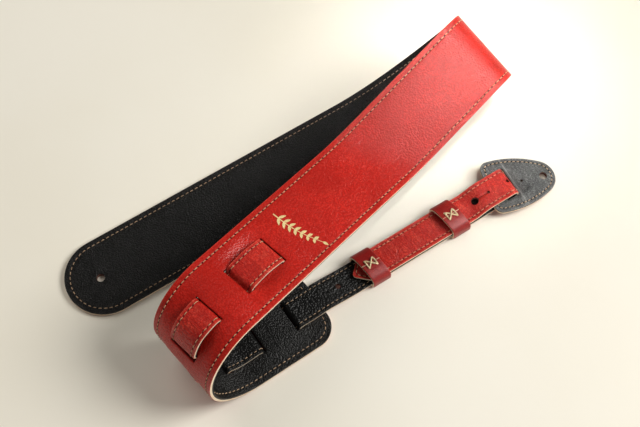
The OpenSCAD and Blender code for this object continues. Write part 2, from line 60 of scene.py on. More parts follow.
# ---- sizes, as in the CAD model ----
STRAP_WIDTH, STRAP_LENGTH = 64.0, 917.0
STRAP_FACE, STRAP_LINING = 2.2, 1.4
TAIL_CORNER, STRAP_INSET = 18.0, 4.6
HOLE_FROM_END, HOLE_DIAMETER = 28.0, 6.5
LAY_ANGLE = 32.4
RISE_BEND = (277.6, 90.3, 40.24, 27.8)  # start, length, angle and skew
FOLD_BEND = (375.5, 58.1, 151.0, 5.3)
SAG_BEND = (517.3, 38.6, -24.4, -29.9)
CURL_BEND = (711.3, 131.2, 190.99, 6.98)
SLOT_START, SLOT_PITCH, SLOT_COUNT = 661.5, 33.0, 8
SLOT_LENGTH, SLOT_NEAR, SLOT_FAR = 25.4, 2.3, 4.4  # half widths; every second slot's far side is wide
BULGE_OUTSIDE, BULGE_INSIDE = 2.6, 0.6
WINDOW_ARCH = 4.0
WEAVE_STEEPNESS = 9.0
ADJUSTER_WIDTH, ADJUSTER_FACE, ADJUSTER_LINING = 24.6, 1.7, 1.3
ADJUSTER_INSET, ADJUSTER_START = 2.9, 636.0
RUN_TURN, RUN_HEIGHT, TIP_POSITION = -1.5, 2.2, 33.5
LAYER_GAP, LOOP_INNER, LOOP_AT = 0.5, 2.7, 178.3
CREST_FROM, CREST_FOOT = 157.0, 139.5
RUN_HOLE, RUN_HOLE_DIAMETER = 19.3, 4.0
KEYHOLE, KEYHOLE_DIAMETER, KEYHOLE_SLIT = 149.0, 6.0, 13.0
BIGHT_HOLE_TURN, BIGHT_HOLE_DIAMETER = math.radians(62), 3.0
KEEPER_WIDTH, KEEPER_THICKNESS = 16.0, 1.8
LOWER_KEEPER_AT, UPPER_KEEPER_AT = 49.3, 125.3
LACING_DIAMETER = 1.2
TAB_LENGTH, TAB_WIDTH, TAB_FACE, TAB_LINING = 58.5, 46.0, 1.9, 1.4
TAB_WEB, TAB_TURN, TAB_DROOP, TAB_PIVOT = 12.0, -16.0, 6.0, 178.8
TAB_INSET, TAB_HOLE_FROM_TIP, RELIEF_FROM_HOLE, RELIEF_DIAMETER = 3.2, 10.0, 19.0, 2.2
WEB_CLEARANCE = 0.35
# the crease beside the loop is drawn as a light line: painted highlight of the bend, with some scuffing
TAB_BEND, TAB_BEND_AT = math.radians(12.9), 7.7  # the crease beside the loop
SWING_PLAY = 1.2  # room in the tab's opening on the side it swings towards
SLIP = 0.3
STITCH_PITCH, ADJUSTER_PITCH, TAB_PITCH = 4.25, 4.15, 3.55
THREAD_RADIUS, ADJUSTER_THREAD_RADIUS = 0.33, 0.26
THREAD_SMOOTH = 80  # degrees
EDGE_RADIUS = 0.3

HALF = STRAP_WIDTH / 2
ADJUSTER_HALF = ADJUSTER_WIDTH / 2
LAST_SLOT = SLOT_START + SLOT_PITCH * (SLOT_COUNT - 1)
WINDOW_MID = SLOT_START + SLOT_PITCH / 2
SLOTS = [(SLOT_START + SLOT_PITCH * k - SLOT_NEAR,
          SLOT_START + SLOT_PITCH * k + (SLOT_FAR if k % 2 else SLOT_NEAR)) for k in range(SLOT_COUNT)]
BEND_CUT = 480.0  # the wide strap's two visual pieces meet here, on a flat stretch
WEAVE_CUT = 848.0  # and the adjuster's two pieces here


# ---- how the strap lies ----
def rolled(p, s, w, bend):
    """Point p of a strip after one cylinder roll; s and w say how far along the strip it is."""
    start, length, angle, skew = bend
    c, n = math.cos(math.radians(skew)), math.sin(math.radians(skew))
    across = (s - start) * c + w * n
    x = (p[0] - start) * c + p[1] * n
    y = p[1] * c - (p[0] - start) * n
    turn = math.radians(angle)
    radius = length / turn
    a = np.clip(across / length, 0, 1) * turn
    past = np.where(across > length, x - length, 0.0)
    u = np.where(across <= 0, x, (radius - p[2]) * np.sin(a) + past * np.cos(a))
    v = np.where(across <= 0, p[2], radius - (radius - p[2]) * np.cos(a) + past * np.sin(a))
    return start + u * c - y * n, u * n + y * c, v


def strap_point(s, w, h):
    """Row-frame millimetres of the wide strap at s, w, h."""
    s, w, h = np.broadcast_arrays(np.asarray(s, float), np.asarray(w, float), np.asarray(h, float))
    p = (s, w, h)
    for bend in (CURL_BEND, SAG_BEND, FOLD_BEND, RISE_BEND):
        p = rolled(p, s, w, bend)
    x = p[0] - HOLE_FROM_END
    c, n = math.cos(math.radians(LAY_ANGLE)), math.sin(math.radians(LAY_ANGLE))
    return np.stack([x * c - p[1] * n, x * n + p[1] * c, p[2] + STRAP_FACE], -1)


def ease(t):
    t = np.clip(t, 0, 1)
    return t * t * (3 - 2 * t)


def wave(s):
    return np.cos(math.pi * (s - WINDOW_MID) / SLOT_PITCH)


def bulge(s, w):
    """How far the leather between the slots is pushed towards the lining side."""
    outside = np.maximum(np.maximum(SLOT_START - s, s - LAST_SLOT), 0) / SLOT_PITCH
    fade = 1 - ease((np.abs(w) - SLOT_LENGTH / 2) / 13.0)
    mean = (BULGE_OUTSIDE - BULGE_INSIDE) / 2
    swing = (BULGE_OUTSIDE + BULGE_INSIDE) / 2
    return (mean + swing * wave(s)) * (1 - ease(outside)) * fade


def bulged_point(s, w, h):
    return strap_point(s, w, h + bulge(s, w))


INSIDE_LINE = STRAP_LINING + SLIP + ADJUSTER_FACE
OUTSIDE_LINE = -(STRAP_FACE + SLIP + ADJUSTER_LINING)


def weave_line(s):
    """Height of the adjuster's glue line as it passes in and out of the slots."""
    near = np.clip(s, SLOT_START - SLOT_PITCH / 2, LAST_SLOT + SLOT_PITCH / 2)
    u = WEAVE_STEEPNESS * wave(near)
    side = -u / np.sqrt(1 + u * u) * math.sqrt(1 + WEAVE_STEEPNESS**2) / WEAVE_STEEPNESS
    arched = (s > SLOT_START) & (s < SLOT_START + 3 * SLOT_PITCH)
    arch = np.where(arched, WINDOW_ARCH * np.maximum(0, wave(s)) ** 1.5, 0)
    mean, swing = (INSIDE_LINE + OUTSIDE_LINE) / 2, (INSIDE_LINE - OUTSIDE_LINE) / 2
    return bulge(s, 0.0) + mean + swing * side - arch


def adjuster_point(s, w, d):
    s = np.asarray(s, float)
    slope = (weave_line(s + 0.05) - weave_line(s - 0.05)) / 0.1
    k = np.sqrt(1 + slope * slope)
    return strap_point(s - d * slope / k, w, weave_line(s) + d / k)


# ---- the adjuster's free run: a line of (along, up) points, and its frame on the table ----
TAIL_END = strap_point(STRAP_LENGTH, 0, 0)
TAIL_WAY = TAIL_END - strap_point(STRAP_LENGTH - 20, 0, 0)
TAIL_HEADING = math.atan2(TAIL_WAY[1], TAIL_WAY[0])
RUN_HEADING = TAIL_HEADING + math.radians(RUN_TURN)
RUN_WAY = np.array([math.cos(RUN_HEADING), math.sin(RUN_HEADING), 0.0])
RUN_LEFT = np.array([-RUN_WAY[1], RUN_WAY[0], 0.0])
TAIL_LEFT = np.array([-math.sin(TAIL_HEADING), math.cos(TAIL_HEADING), 0.0])
RUN_ORIGIN = TAIL_END * [1, 1, 0]
ADJUSTER_THICKNESS = ADJUSTER_FACE + ADJUSTER_LINING
LOW_GLUE = RUN_HEIGHT + ADJUSTER_FACE
TOP_GLUE = RUN_HEIGHT + ADJUSTER_THICKNESS + LAYER_GAP + ADJUSTER_LINING
LOOP_RADIUS = LOOP_INNER + ADJUSTER_LINING
HIGH_GLUE = LOW_GLUE + 2 * LOOP_RADIUS
LEAVE_GLUE = TAIL_END[2] + INSIDE_LINE


def run_line():
    """Points of the glue line from the slotted end to the tip, about 1 mm apart."""
    out = np.arange(0, LOOP_AT, 1.0)
    down = LEAVE_GLUE + (LOW_GLUE - LEAVE_GLUE) * ease((out - 4) / 28)
    a = np.linspace(-math.pi / 2, math.pi / 2, 19)
    loop = np.stack([LOOP_AT + LOOP_RADIUS * np.cos(a), LOW_GLUE + LOOP_RADIUS * (1 + np.sin(a))], 1)
    back = np.arange(LOOP_AT - 1, TIP_POSITION, -1.0)
    up = TOP_GLUE + (HIGH_GLUE - TOP_GLUE) * ease((back - CREST_FOOT) / (CREST_FROM - CREST_FOOT))
    end = np.array([[TIP_POSITION, TOP_GLUE]])
    return np.concatenate([np.stack([out, down], 1), loop, np.stack([back, up], 1), end])


RUN_POINTS = run_line()
RUN_STEPS = np.hypot(*np.diff(RUN_POINTS, axis=0).T)
RUN_ARC = np.concatenate([[0], np.cumsum(RUN_STEPS)])
RUN_LENGTH = RUN_ARC[-1]
WOVEN_LENGTH = STRAP_LENGTH - WEAVE_CUT
LOOP_LENGTH = WOVEN_LENGTH + RUN_LENGTH


def run_place(arc):
    """(along, up) at an arc length, and the way the line goes there."""
    along = np.interp(arc, RUN_ARC, RUN_POINTS[:, 0])
    up = np.interp(arc, RUN_ARC, RUN_POINTS[:, 1])
    before, after = arc - 0.6, arc + 0.6
    da = np.interp(after, RUN_ARC, RUN_POINTS[:, 0]) - np.interp(before, RUN_ARC, RUN_POINTS[:, 0])
    du = np.interp(after, RUN_ARC, RUN_POINTS[:, 1]) - np.interp(before, RUN_ARC, RUN_POINTS[:, 1])
    size = np.maximum(np.hypot(da, du), 1e-6)
    return along, up, da / size, du / size


def run_frame(along, across, up):
    """Row-frame millimetres of a point given along, across and above the adjuster's run."""
    along, across, up = np.broadcast_arrays(along, across, up)
    turned = ease(np.asarray(along, float) / 15)[..., None]
    left = TAIL_LEFT * (1 - turned) + RUN_LEFT * turned
    flat = RUN_ORIGIN + along[..., None] * RUN_WAY + across[..., None] * left
    return flat + up[..., None] * np.array([0, 0, 1.0])


def loop_point(q, w, d):
    """The adjuster from WEAVE_CUT to its tip: q is the length along it from the cut."""
    q, w, d = np.broadcast_arrays(np.asarray(q, float), np.asarray(w, float), np.asarray(d, float))
    woven = adjuster_point(np.minimum(WEAVE_CUT + q, STRAP_LENGTH), w, d)
    along, up, da, du = run_place(np.maximum(q - WOVEN_LENGTH, 0))
    free = run_frame(along - d * du, w, up + d * da)
    return np.where((q < WOVEN_LENGTH)[..., None], woven, free)


# ---- edge distance and length along the seam, for each strap shape ----
def rounded_end(along, across, half, corner):
    """Distance from the edge near an end with two rounded corners; along is from the end."""
    dx = np.maximum(corner - along, 0)
    dy = np.maximum(np.abs(across) - (half - corner), 0)
    edge = np.minimum(half - np.abs(across), along)
    return np.where((dx > 0) & (dy > 0), corner - np.hypot(dx, dy), edge)


def end_width(along, half, corner):
    d = np.clip(corner - along, 0, corner)
    return half - corner + np.sqrt(corner * corner - d * d)


def strap_edge(s, w):
    front = rounded_end(s, w, HALF, HALF)
    back = rounded_end(STRAP_LENGTH - s, w, HALF, TAIL_CORNER)
    return np.minimum(front, back)


def strap_half(s):
    return np.minimum(end_width(s, HALF, HALF), end_width(STRAP_LENGTH - s, HALF, TAIL_CORNER))


WEAVE_CORNER = 8.0
TIP_LENGTH, TIP_NOSE = 12.0, 3.0
TIP_SLOPE = math.radians(43)


def weave_half(s):
    return end_width(s - ADJUSTER_START, ADJUSTER_HALF, WEAVE_CORNER)


def tip_half(left):
    """Half width of the pointed tip, by the distance left to its end: a round nose, then straight sides."""
    left = np.clip(left, 0, None)
    round_to = TIP_NOSE * (1 - math.sin(TIP_SLOPE))
    nose = np.sqrt(np.clip(TIP_NOSE**2 - np.clip(TIP_NOSE - left, 0, None) ** 2, 0, None))
    side = TIP_NOSE * math.cos(TIP_SLOPE) + (left - round_to) * math.tan(TIP_SLOPE)
    point = np.where(left < round_to, nose, side)
    return (point + ADJUSTER_HALF - np.sqrt((point - ADJUSTER_HALF) ** 2 + 1.5)) / 2


def weave_edge(s, w):
    return rounded_end(s - ADJUSTER_START, w, ADJUSTER_HALF, WEAVE_CORNER)


def loop_edge(q, w):
    left = LOOP_LENGTH - q
    return np.minimum(tip_half(left) - np.abs(w), left)


# ---- meshes ----
def edge_round(edge, radius):
    d = np.clip(radius - edge, 0, radius)
    return radius - np.sqrt(radius * radius - d * d)


def seam_dip(edge, inset):
    return 0.16 * np.exp(-(((edge - inset) / 0.7) ** 2))


def densed(path, step=0.4):
    """The path with extra points, and the length along it at each."""
    path = np.asarray(path, float)
    length = np.concatenate([[0], np.cumsum(np.hypot(*np.diff(path, axis=0).T))])
    along = np.linspace(0, length[-1], int(length[-1] / step) + 2)
    return np.stack([np.interp(along, length, path[:, i]) for i in (0, 1)], 1), along


def even_pitch(path, pitch):
    """The pitch nearest the wanted one that fits the path a whole number of times."""
    along = densed(path)[1]
    return along[-1] / round(along[-1] / pitch)


def stitch_numbers(path, pitch, s, w):
    """For points of the strap, how many stitches along the path the nearest path point is."""
    points, along = densed(path)
    pitch = even_pitch(path, pitch)
    flat = np.stack([s.ravel(), w.ravel()], 1)
    nearest = np.empty(len(flat))
    for i in range(0, len(flat), 2000):
        far = ((flat[i:i + 2000, None] - points[None]) ** 2).sum(-1)
        nearest[i:i + 2000] = along[far.argmin(1)]
    return nearest.reshape(s.shape) / pitch


def make_object(name, vertices, faces, materials, face_materials=None, smooth_angle=38):
    mesh = bpy.data.meshes.new(name)
    mesh.from_pydata((np.asarray(vertices) * MM).tolist(), [], faces)
    for m in materials:
        mesh.materials.append(m)
    if face_materials is not None:
        mesh.polygons.foreach_set("material_index", np.asarray(face_materials, np.int32))
    mesh.update()
    mesh.shade_smooth()
    mesh.set_sharp_from_angle(angle=math.radians(smooth_angle))
    obj = bpy.data.objects.new(name, mesh)
    bpy.context.scene.collection.objects.link(obj)
    return obj


def vertex_uv(obj, layer, values):
    """A UV layer holding one pair of numbers per vertex, in metres."""
    mesh = obj.data
    uv = mesh.uv_layers.new(name=layer)
    corners = np.empty(len(mesh.loops), np.int32)
    mesh.loops.foreach_get("vertex_index", corners)
    uv.data.foreach_set("uv", (np.asarray(values)[corners] * MM).astype(np.float32).ravel())


def grid_faces(n, m, open_cells):
    """Quads of a closed two-skin sheet on an n by m grid, and each quad's place.

    The places are 0 lower, 1 upper, 2 rim and 3 slot wall.
    """
    skin = n * m
    faces, places = [], []
    for i in range(n - 1):
        for j in range(m - 1):
            if open_cells[i, j]:
                continue
            a = i * m + j
            b, c, d = a + m, a + m + 1, a + 1
            faces.append((a, d, c, b))
            faces.append((a + skin, b + skin, c + skin, d + skin))
            places += [0, 1]
            sides = (
                (a, b, j == 0, j > 0 and open_cells[i, j - 1]),
                (b, c, i == n - 2, i < n - 2 and open_cells[i + 1, j]),
                (c, d, j == m - 2, j < m - 2 and open_cells[i, j + 1]),
                (d, a, i == 0, i > 0 and open_cells[i - 1, j]),
            )
            for p, q, border, opening in sides:
                if border or opening:
                    faces.append((p, q, q + skin, p + skin))
                    places.append(2 if border else 3)
    return faces, places


def slot_distance(s, w):
    """Distance from the nearest slot."""
    across = np.maximum(np.abs(w) - SLOT_LENGTH / 2, 0)
    along = np.min([np.maximum(np.maximum(low - s, s - high), 0) for low, high in SLOTS], axis=0)
    return np.hypot(across, along)


def layer(name, rows, columns, half_at, edge_at, point, outer, materials, inset, seam, pitch, slots=False):
    """One leather layer. outer is the outer skin's h, with its sign saying which side it is on."""
    s, w = np.meshgrid(rows, columns, indexing="ij")
    w = w * (half_at(s) / np.abs(columns).max())
    edge = edge_at(s, w)
    worn = edge_round(edge, EDGE_RADIUS) + seam_dip(edge, inset)
    if slots:
        worn = worn + edge_round(slot_distance(s, w), EDGE_RADIUS)
    skin = np.sign(outer) * (abs(outer) - worn)
    glue = np.zeros_like(s)
    lower, upper = (skin, glue) if outer < 0 else (glue, skin)
    n, m = s.shape
    open_cells = np.zeros((n - 1, m - 1), bool)
    if slots:
        mid_s = (s[:-1, :-1] + s[1:, 1:]) / 2
        mid_w = (w[:-1, :-1] + w[1:, 1:]) / 2
        for low, high in SLOTS:
            open_cells |= (mid_s > low) & (mid_s < high) & (np.abs(mid_w) < SLOT_LENGTH / 2)
    faces, places = grid_faces(n, m, open_cells)
    vertices = np.concatenate([point(s, w, lower).reshape(-1, 3), point(s, w, upper).reshape(-1, 3)])
    kinds = {0: 0 if outer < 0 else 2, 1: 2 if outer < 0 else 0, 2: 1, 3: 3}
    obj = make_object(name, vertices, faces, materials, [kinds[p] for p in places])
    vertex_uv(obj, "Leather", np.tile(np.stack([s, w], -1).reshape(-1, 2), (2, 1)))
    number = stitch_numbers(seam, pitch, s, w)
    vertex_uv(obj, "Seam", np.tile(np.stack([number, edge], -1).reshape(-1, 2), (2, 1)))
    drop_loose(obj)
    return obj


def drop_loose(obj):
    """Takes out the points that no face uses, inside the slots."""
    bm = bmesh.new()
    bm.from_mesh(obj.data)
    loose = [v for v in bm.verts if not v.link_faces]
    bmesh.ops.delete(bm, geom=loose, context="VERTS")
    bm.to_mesh(obj.data)
    bm.free()


def half_columns(half, inset, inner, step):
    """Column positions across a strap: close together at the cut edge and at the seam."""
    edge = np.array([0, 0.12, 0.3, 0.6, 1.2, 2.0])
    seam = inset + np.array([-1.5, -1.0, -0.6, -0.25, 0, 0.25, 0.6, 1.0, 1.6])
    outer = half - np.concatenate([edge[edge < inset - 1.6], seam])
    return np.concatenate([outer, np.arange(outer.min() - step, inner, -step)])


def both_sides(right, middle):
    right = np.sort(right)
    return np.concatenate([-right[::-1], middle, right])


def even(start, end, step):
    return np.linspace(start, end, max(2, int(round((end - start) / step)) + 1))


def cut_hole(obj, centre, axis, diameter, depth, material):
    """Cuts a round hole with a Boolean, its wall in the given material."""
    bpy.ops.mesh.primitive_cylinder_add(vertices=40, radius=diameter / 2 * MM, depth=depth * MM)
    tool = bpy.context.object
    tool.rotation_euler = Vector(axis).to_track_quat("Z", "Y").to_euler()
    tool.location = Vector(centre) * MM
    tool.data.materials.append(material)
    cut_with(obj, tool)


def cut_with(obj, tool):
    change = obj.modifiers.new("cut", "BOOLEAN")
    change.operation = "DIFFERENCE"
    change.solver = "EXACT"
    change.material_mode = "TRANSFER"
    change.object = tool
    bpy.context.view_layer.objects.active = obj
    bpy.ops.object.modifier_apply(modifier=change.name)
    mesh = tool.data
    bpy.data.objects.remove(tool)
    bpy.data.meshes.remove(mesh)


def prism(outline, low, high, place, material):
    """A cutting tool: four corners, from low to high in a local frame placed by place(x, y, z)."""
    points = [place(x, y, z) for z in (low, high) for x, y in outline]
    faces = [(3, 2, 1, 0), (4, 5, 6, 7), (0, 1, 5, 4), (1, 2, 6, 5), (2, 3, 7, 6), (3, 0, 4, 7)]
    return make_object("tool", points, faces, [material])


def tube_faces(base, rings, around):
    """Quads along a tube whose ring points start at base, and its two end caps."""
    faces = []
    for i in range(rings - 1):
        for j in range(around):
            a, b = base + i * around + j, base + i * around + (j + 1) % around
            faces.append((a, b, b + around, a + around))
    faces.append(tuple(base + j for j in reversed(range(around))))
    faces.append(tuple(base + (rings - 1) * around + j for j in range(around)))
    return faces


STITCH_GAP = 0.66  # from a needle hole's centre to the stitch's end
STITCH_SLANT, STITCH_SINK = 0.16, 0.28


def stitches(name, path, point, pitch, surface, material, radius=THREAD_RADIUS):
    """Separate stitches along a path of (s, w) points; surface is the skin's h, signed by its side."""
    path, length = densed(path)
    pitch = even_pitch(path, pitch)
    count = round(length[-1] / pitch)
    rings, around = 9, 8
    t = np.linspace(0, 1, rings)
    start = (np.arange(count) * pitch)[:, None, None]
    arc = start + STITCH_GAP + t[None, :, None] * (pitch - 2 * STITCH_GAP)
    phi = np.linspace(0, 2 * math.pi, around, endpoint=False)[None, None, :]
    swell = (0.45 + 0.55 * np.sin(math.pi * t) ** 0.5)[None, :, None]
    lift = (-0.34 + 0.56 * np.sin(math.pi * t) ** 0.7)[None, :, None]
    slant = (STITCH_SLANT * (t - 0.5))[None, :, None]
    s = np.interp(arc, length, path[:, 0])
    w = np.interp(arc, length, path[:, 1])
    ds = np.interp(arc + 0.3, length, path[:, 0]) - np.interp(arc - 0.3, length, path[:, 0])
    dw = np.interp(arc + 0.3, length, path[:, 1]) - np.interp(arc - 0.3, length, path[:, 1])
    size = np.maximum(np.hypot(ds, dw), 1e-6)
    side = radius * swell * np.cos(phi) + slant
    high = lift + radius * swell * (1 + np.sin(phi)) - STITCH_SINK
    s = s - dw / size * side
    w = w + ds / size * side
    h = np.sign(surface) * (abs(surface) + high)
    vertices = point(*np.broadcast_arrays(s, w, h)).reshape(-1, 3)
    faces = [face for k in range(count) for face in tube_faces(k * rings * around, rings, around)]
    return make_object(name, vertices, faces, [material], smooth_angle=THREAD_SMOOTH)


# ---- materials ----
class Shader:
    """A few short ways to wire nodes."""

    def __init__(self, name):
        self.material = bpy.data.materials.new(name)
        self.material.use_nodes = True
        self.tree = self.material.node_tree
        self.bsdf = self.tree.nodes["Principled BSDF"]

    def node(self, kind, **values):
        node = self.tree.nodes.new(kind)
        for key, value in values.items():
            if hasattr(node, key):
                setattr(node, key, value)
            else:
                self.put(node.inputs[key.replace("_", " ")], value)
        return node

    def put(self, socket, value):
        if isinstance(value, bpy.types.NodeSocket):
            self.tree.links.new(value, socket)
        else:
            socket.default_value = value

    def math(self, operation, a, b=0.0, c=0.0):
        node = self.tree.nodes.new("ShaderNodeMath")
        node.operation = operation
        for socket, value in zip(node.inputs, (a, b, c)):
            self.put(socket, value)
        return node.outputs[0]

    def ramp(self, value, low, high, to_low=0.0, to_high=1.0):
        node = self.tree.nodes.new("ShaderNodeMapRange")
        node.interpolation_type = "SMOOTHSTEP"
        for socket, x in zip(node.inputs, (value, low, high, to_low, to_high)):
            self.put(socket, x)
        return node.outputs[0]

    def mix(self, factor, a, b):
        node = self.tree.nodes.new("ShaderNodeMix")
        node.data_type = "RGBA"
        self.put(node.inputs[0], factor)
        for socket, colour in ((node.inputs[6], a), (node.inputs[7], b)):
            self.put(socket, (*colour, 1) if isinstance(colour, tuple) else colour)
        return node.outputs[2]

    def noise(self, vector, scale, detail=3.0, roughness=0.5, distortion=0.0):
        node = self.tree.nodes.new("ShaderNodeTexNoise")
        self.put(node.inputs["Vector"], vector)
        node.inputs["Scale"].default_value = scale
        node.inputs["Detail"].default_value = detail
        node.inputs["Roughness"].default_value = roughness
        node.inputs["Distortion"].default_value = distortion
        return node.outputs["Fac"]

    def cells(self, vector, scale, smoothness=0.6, randomness=1.0):
        node = self.tree.nodes.new("ShaderNodeTexVoronoi")
        node.feature = "SMOOTH_F1"
        self.put(node.inputs["Vector"], vector)
        node.inputs["Scale"].default_value = scale
        node.inputs["Smoothness"].default_value = smoothness
        node.inputs["Randomness"].default_value = randomness
        return node.outputs["Distance"]

    def bump(self, height, distance, strength=1.0, under=None):
        node = self.tree.nodes.new("ShaderNodeBump")
        node.inputs["Distance"].default_value = distance * MM
        node.inputs["Strength"].default_value = strength
        self.put(node.inputs["Height"], height)
        if under is not None:
            self.put(node.inputs["Normal"], under)
        return node.outputs[0]

    def uv(self, layer):
        return self.node("ShaderNodeUVMap", uv_map=layer).outputs[0]

    def object_place(self):
        return self.tree.nodes.new("ShaderNodeTexCoord").outputs["Object"]

    def split(self, vector):
        node = self.tree.nodes.new("ShaderNodeSeparateXYZ")
        self.put(node.inputs[0], vector)
        return node.outputs


def stitch_holes(sh, inset, pitch):
    """1 at each needle hole of the seam and 0 away from it, and the distance from the edge in mm."""
    number, edge, _ = sh.split(sh.uv("Seam"))
    turns = sh.math("DIVIDE", number, MM)
    off = sh.math("MULTIPLY", sh.math("SUBTRACT", sh.math("FRACT", sh.math("ADD", turns, 0.5)), 0.5), pitch)
    edge = sh.math("DIVIDE", edge, MM)
    side = sh.math("SUBTRACT", edge, inset)
    slanted = sh.math("ADD", off, sh.math("MULTIPLY", side, 0.35))
    far = sh.math("SQRT", sh.math("ADD", sh.math("POWER", slanted, 2.0), sh.math("POWER", side, 2.0)))
    return sh.ramp(far, 0.55, 0.85, 1.0, 0.0), edge


def crease_scuff_and_highlight(sh, angle, distance):
    """A light line along a crease across the leather, painted highlight of the bend with some scuffing, by
    the angle of its normal and its distance from the origin.
    """
    x, y, _ = sh.split(sh.uv("Leather"))
    off = sh.math("ADD", sh.math("MULTIPLY", x, math.cos(angle)), sh.math("MULTIPLY", y, math.sin(angle)))
    off = sh.math("ABSOLUTE", sh.math("SUBTRACT", off, distance * MM))
    broken = sh.ramp(sh.noise(sh.uv("Leather"), 260.0, 3.0), 0.35, 0.6, 0.45, 1.0)
    line = sh.ramp(off, 0.25 * MM, 0.8 * MM, 0.85, 0.0)
    band = sh.ramp(off, 0.5 * MM, 3.0 * MM, 0.22, 0.0)
    return sh.math("MAXIMUM", sh.math("MULTIPLY", line, broken), band)


def leather(name, colour, deep, light, grain, grain_height, roughness, inset, pitch, patches=0.5, creases=0.0,
            sheen=0.3, hole_shade=0.93, flecks=0.0, bend=None):
    """Grained leather: cells for the grain, its grooves darker in painted shade and its tops lighter in
    painted highlight, cloudy patches of colour, worn edges, and needle holes darkened in painted shade.
    """
    sh = Shader(name)
    place = sh.object_place()
    cells = sh.cells(place, 1000 / grain, 0.45)
    fine = sh.noise(place, 1000 / (grain * 0.45), 4.0, 0.6)
    cloud = sh.noise(place, 26.0, 5.0, 0.62, 0.4)
    blotch = sh.noise(place, 110.0, 4.0, 0.6)
    holes, edge = stitch_holes(sh, inset, pitch)
    base = sh.mix(sh.ramp(cloud, 0.35, 0.68, 0.4, 1.0), deep, colour)
    base = sh.mix(sh.math("MULTIPLY", sh.ramp(blotch, 0.5, 0.75), patches), base, light)
    # grain tone with painted light: darker in the grooves between the cells (painted shade) and lighter on
    # the fine raised points (painted highlight)
    base = sh.mix(sh.ramp(cells, 0.30, 0.62, 0.0, 0.62), base, deep)
    base = sh.mix(sh.ramp(fine, 0.5, 0.72, 0.0, 0.3), base, light)
    rim = sh.ramp(edge, 0.0, 1.3, 0.5, 0.0)
    base = sh.mix(rim, base, light)
    painted_hole_shade = tuple(c * 0.12 for c in deep)
    if flecks:
        brushed = sh.node("ShaderNodeMapping")
        sh.put(brushed.inputs["Vector"], sh.uv("Leather"))
        brushed.inputs["Rotation"].default_value = (0, 0, 0.9)
        brushed.inputs["Scale"].default_value = (1, 2.6, 1)
        hair = sh.noise(brushed.outputs[0], 620.0, 3.0, 0.65)
        base = sh.mix(sh.ramp(hair, 0.50, 0.66, 0.0, flecks), base, light)
        base = sh.mix(sh.ramp(hair, 0.34, 0.50, flecks, 0.0), base, deep)
    # the crease line: painted highlight of the bend, with some scuffing
    if bend:
        base = sh.mix(crease_scuff_and_highlight(sh, *bend), base, light)
    # painted shade in the needle holes: the colour darkens at each hole
    base = sh.mix(sh.math("MULTIPLY", holes, hole_shade), base, painted_hole_shade)
    sh.put(sh.bsdf.inputs["Base Color"], base)
    rough = sh.ramp(fine, 0.3, 0.7, roughness - 0.07, roughness + 0.09)
    sh.put(sh.bsdf.inputs["Roughness"], sh.math("ADD", rough, sh.math("MULTIPLY", holes, 0.3)))
    sh.bsdf.inputs["Specular IOR Level"].default_value = sheen
    height = sh.math("SUBTRACT", sh.math("MULTIPLY", fine, 0.35), cells)
    normal = sh.bump(height, grain_height)
    normal = sh.bump(blotch, 0.25, 0.6, normal)
    if creases:
        turned = sh.node("ShaderNodeMapping")
        sh.put(turned.inputs["Vector"], sh.uv("Leather"))
        turned.inputs["Rotation"].default_value = (0, 0, 0.45)
        turned.inputs["Scale"].default_value = (1, 0.22, 1)
        fold = sh.noise(turned.outputs[0], 150.0, 4.0, 0.6, 0.8)
        line = sh.ramp(sh.math("ABSOLUTE", sh.math("SUBTRACT", fold, 0.5)), 0.0, 0.09)
        # painted shade: the colour darkens along the crease grooves
        base = sh.mix(sh.math("MULTIPLY", sh.math("SUBTRACT", 1.0, line), 0.4), base, deep)
        sh.put(sh.bsdf.inputs["Base Color"], base)
        normal = sh.bump(line, creases, 0.7, normal)
    normal = sh.bump(sh.math("MULTIPLY", holes, -1.0), 0.5, 1.0, normal)
    sh.put(sh.bsdf.inputs["Normal"], normal)
    return sh.material


def cut_edge(name, colour, deep):
    """The raw edge of a hide: fibres in the given colours; the hole and slot walls use it with colours of
    painted shade.
    """
    sh = Shader(name)
    place = sh.object_place()
    fibre = sh.noise(place, 1600.0, 5.0, 0.7)
    stain = sh.noise(place, 120.0, 3.0, 0.5)
    base = sh.mix(sh.ramp(stain, 0.4, 0.7), colour, deep)
    sh.put(sh.bsdf.inputs["Base Color"], sh.mix(sh.ramp(fibre, 0.3, 0.7, 0.0, 0.35), base, deep))
    sh.bsdf.inputs["Roughness"].default_value = 0.8
    sh.put(sh.bsdf.inputs["Normal"], sh.bump(fibre, 0.15))
    return sh.material


def cord(name, colour, deep, twist):
    """Waxed thread or cord: a fine twist and slight shade differences."""
    sh = Shader(name)
    place = sh.object_place()
    strands = sh.node("ShaderNodeTexWave", wave_type="BANDS", bands_direction="DIAGONAL")
    sh.put(strands.inputs["Vector"], place)
    strands.inputs["Scale"].default_value = twist
    strands.inputs["Distortion"].default_value = 1.5
    shade = sh.noise(place, 300.0, 3.0)
    base = sh.mix(sh.ramp(shade, 0.35, 0.7), colour, deep)
    sh.put(sh.bsdf.inputs["Base Color"], sh.mix(sh.math("MULTIPLY", strands.outputs[1], 0.3), base, deep))
    sh.bsdf.inputs["Roughness"].default_value = 0.62
    sh.bsdf.inputs["Sheen Weight"].default_value = 0.15
    sh.put(sh.bsdf.inputs["Normal"], sh.bump(strands.outputs[1], 0.12))
    return sh.material


def foil_material():
    sh = Shader("gold_foil")
    place = sh.object_place()
    speck = sh.noise(place, 900.0, 4.0, 0.7)
    gold = sh.mix(sh.ramp(speck, 0.4, 0.75), (0.95, 0.82, 0.42), (0.78, 0.55, 0.2))
    sh.put(sh.bsdf.inputs["Base Color"], gold)
    sh.bsdf.inputs["Metallic"].default_value = 0.35
    sh.put(sh.bsdf.inputs["Roughness"], sh.ramp(speck, 0.3, 0.7, 0.3, 0.5))
    sh.put(sh.bsdf.inputs["Normal"], sh.bump(speck, 0.05))
    return sh.material


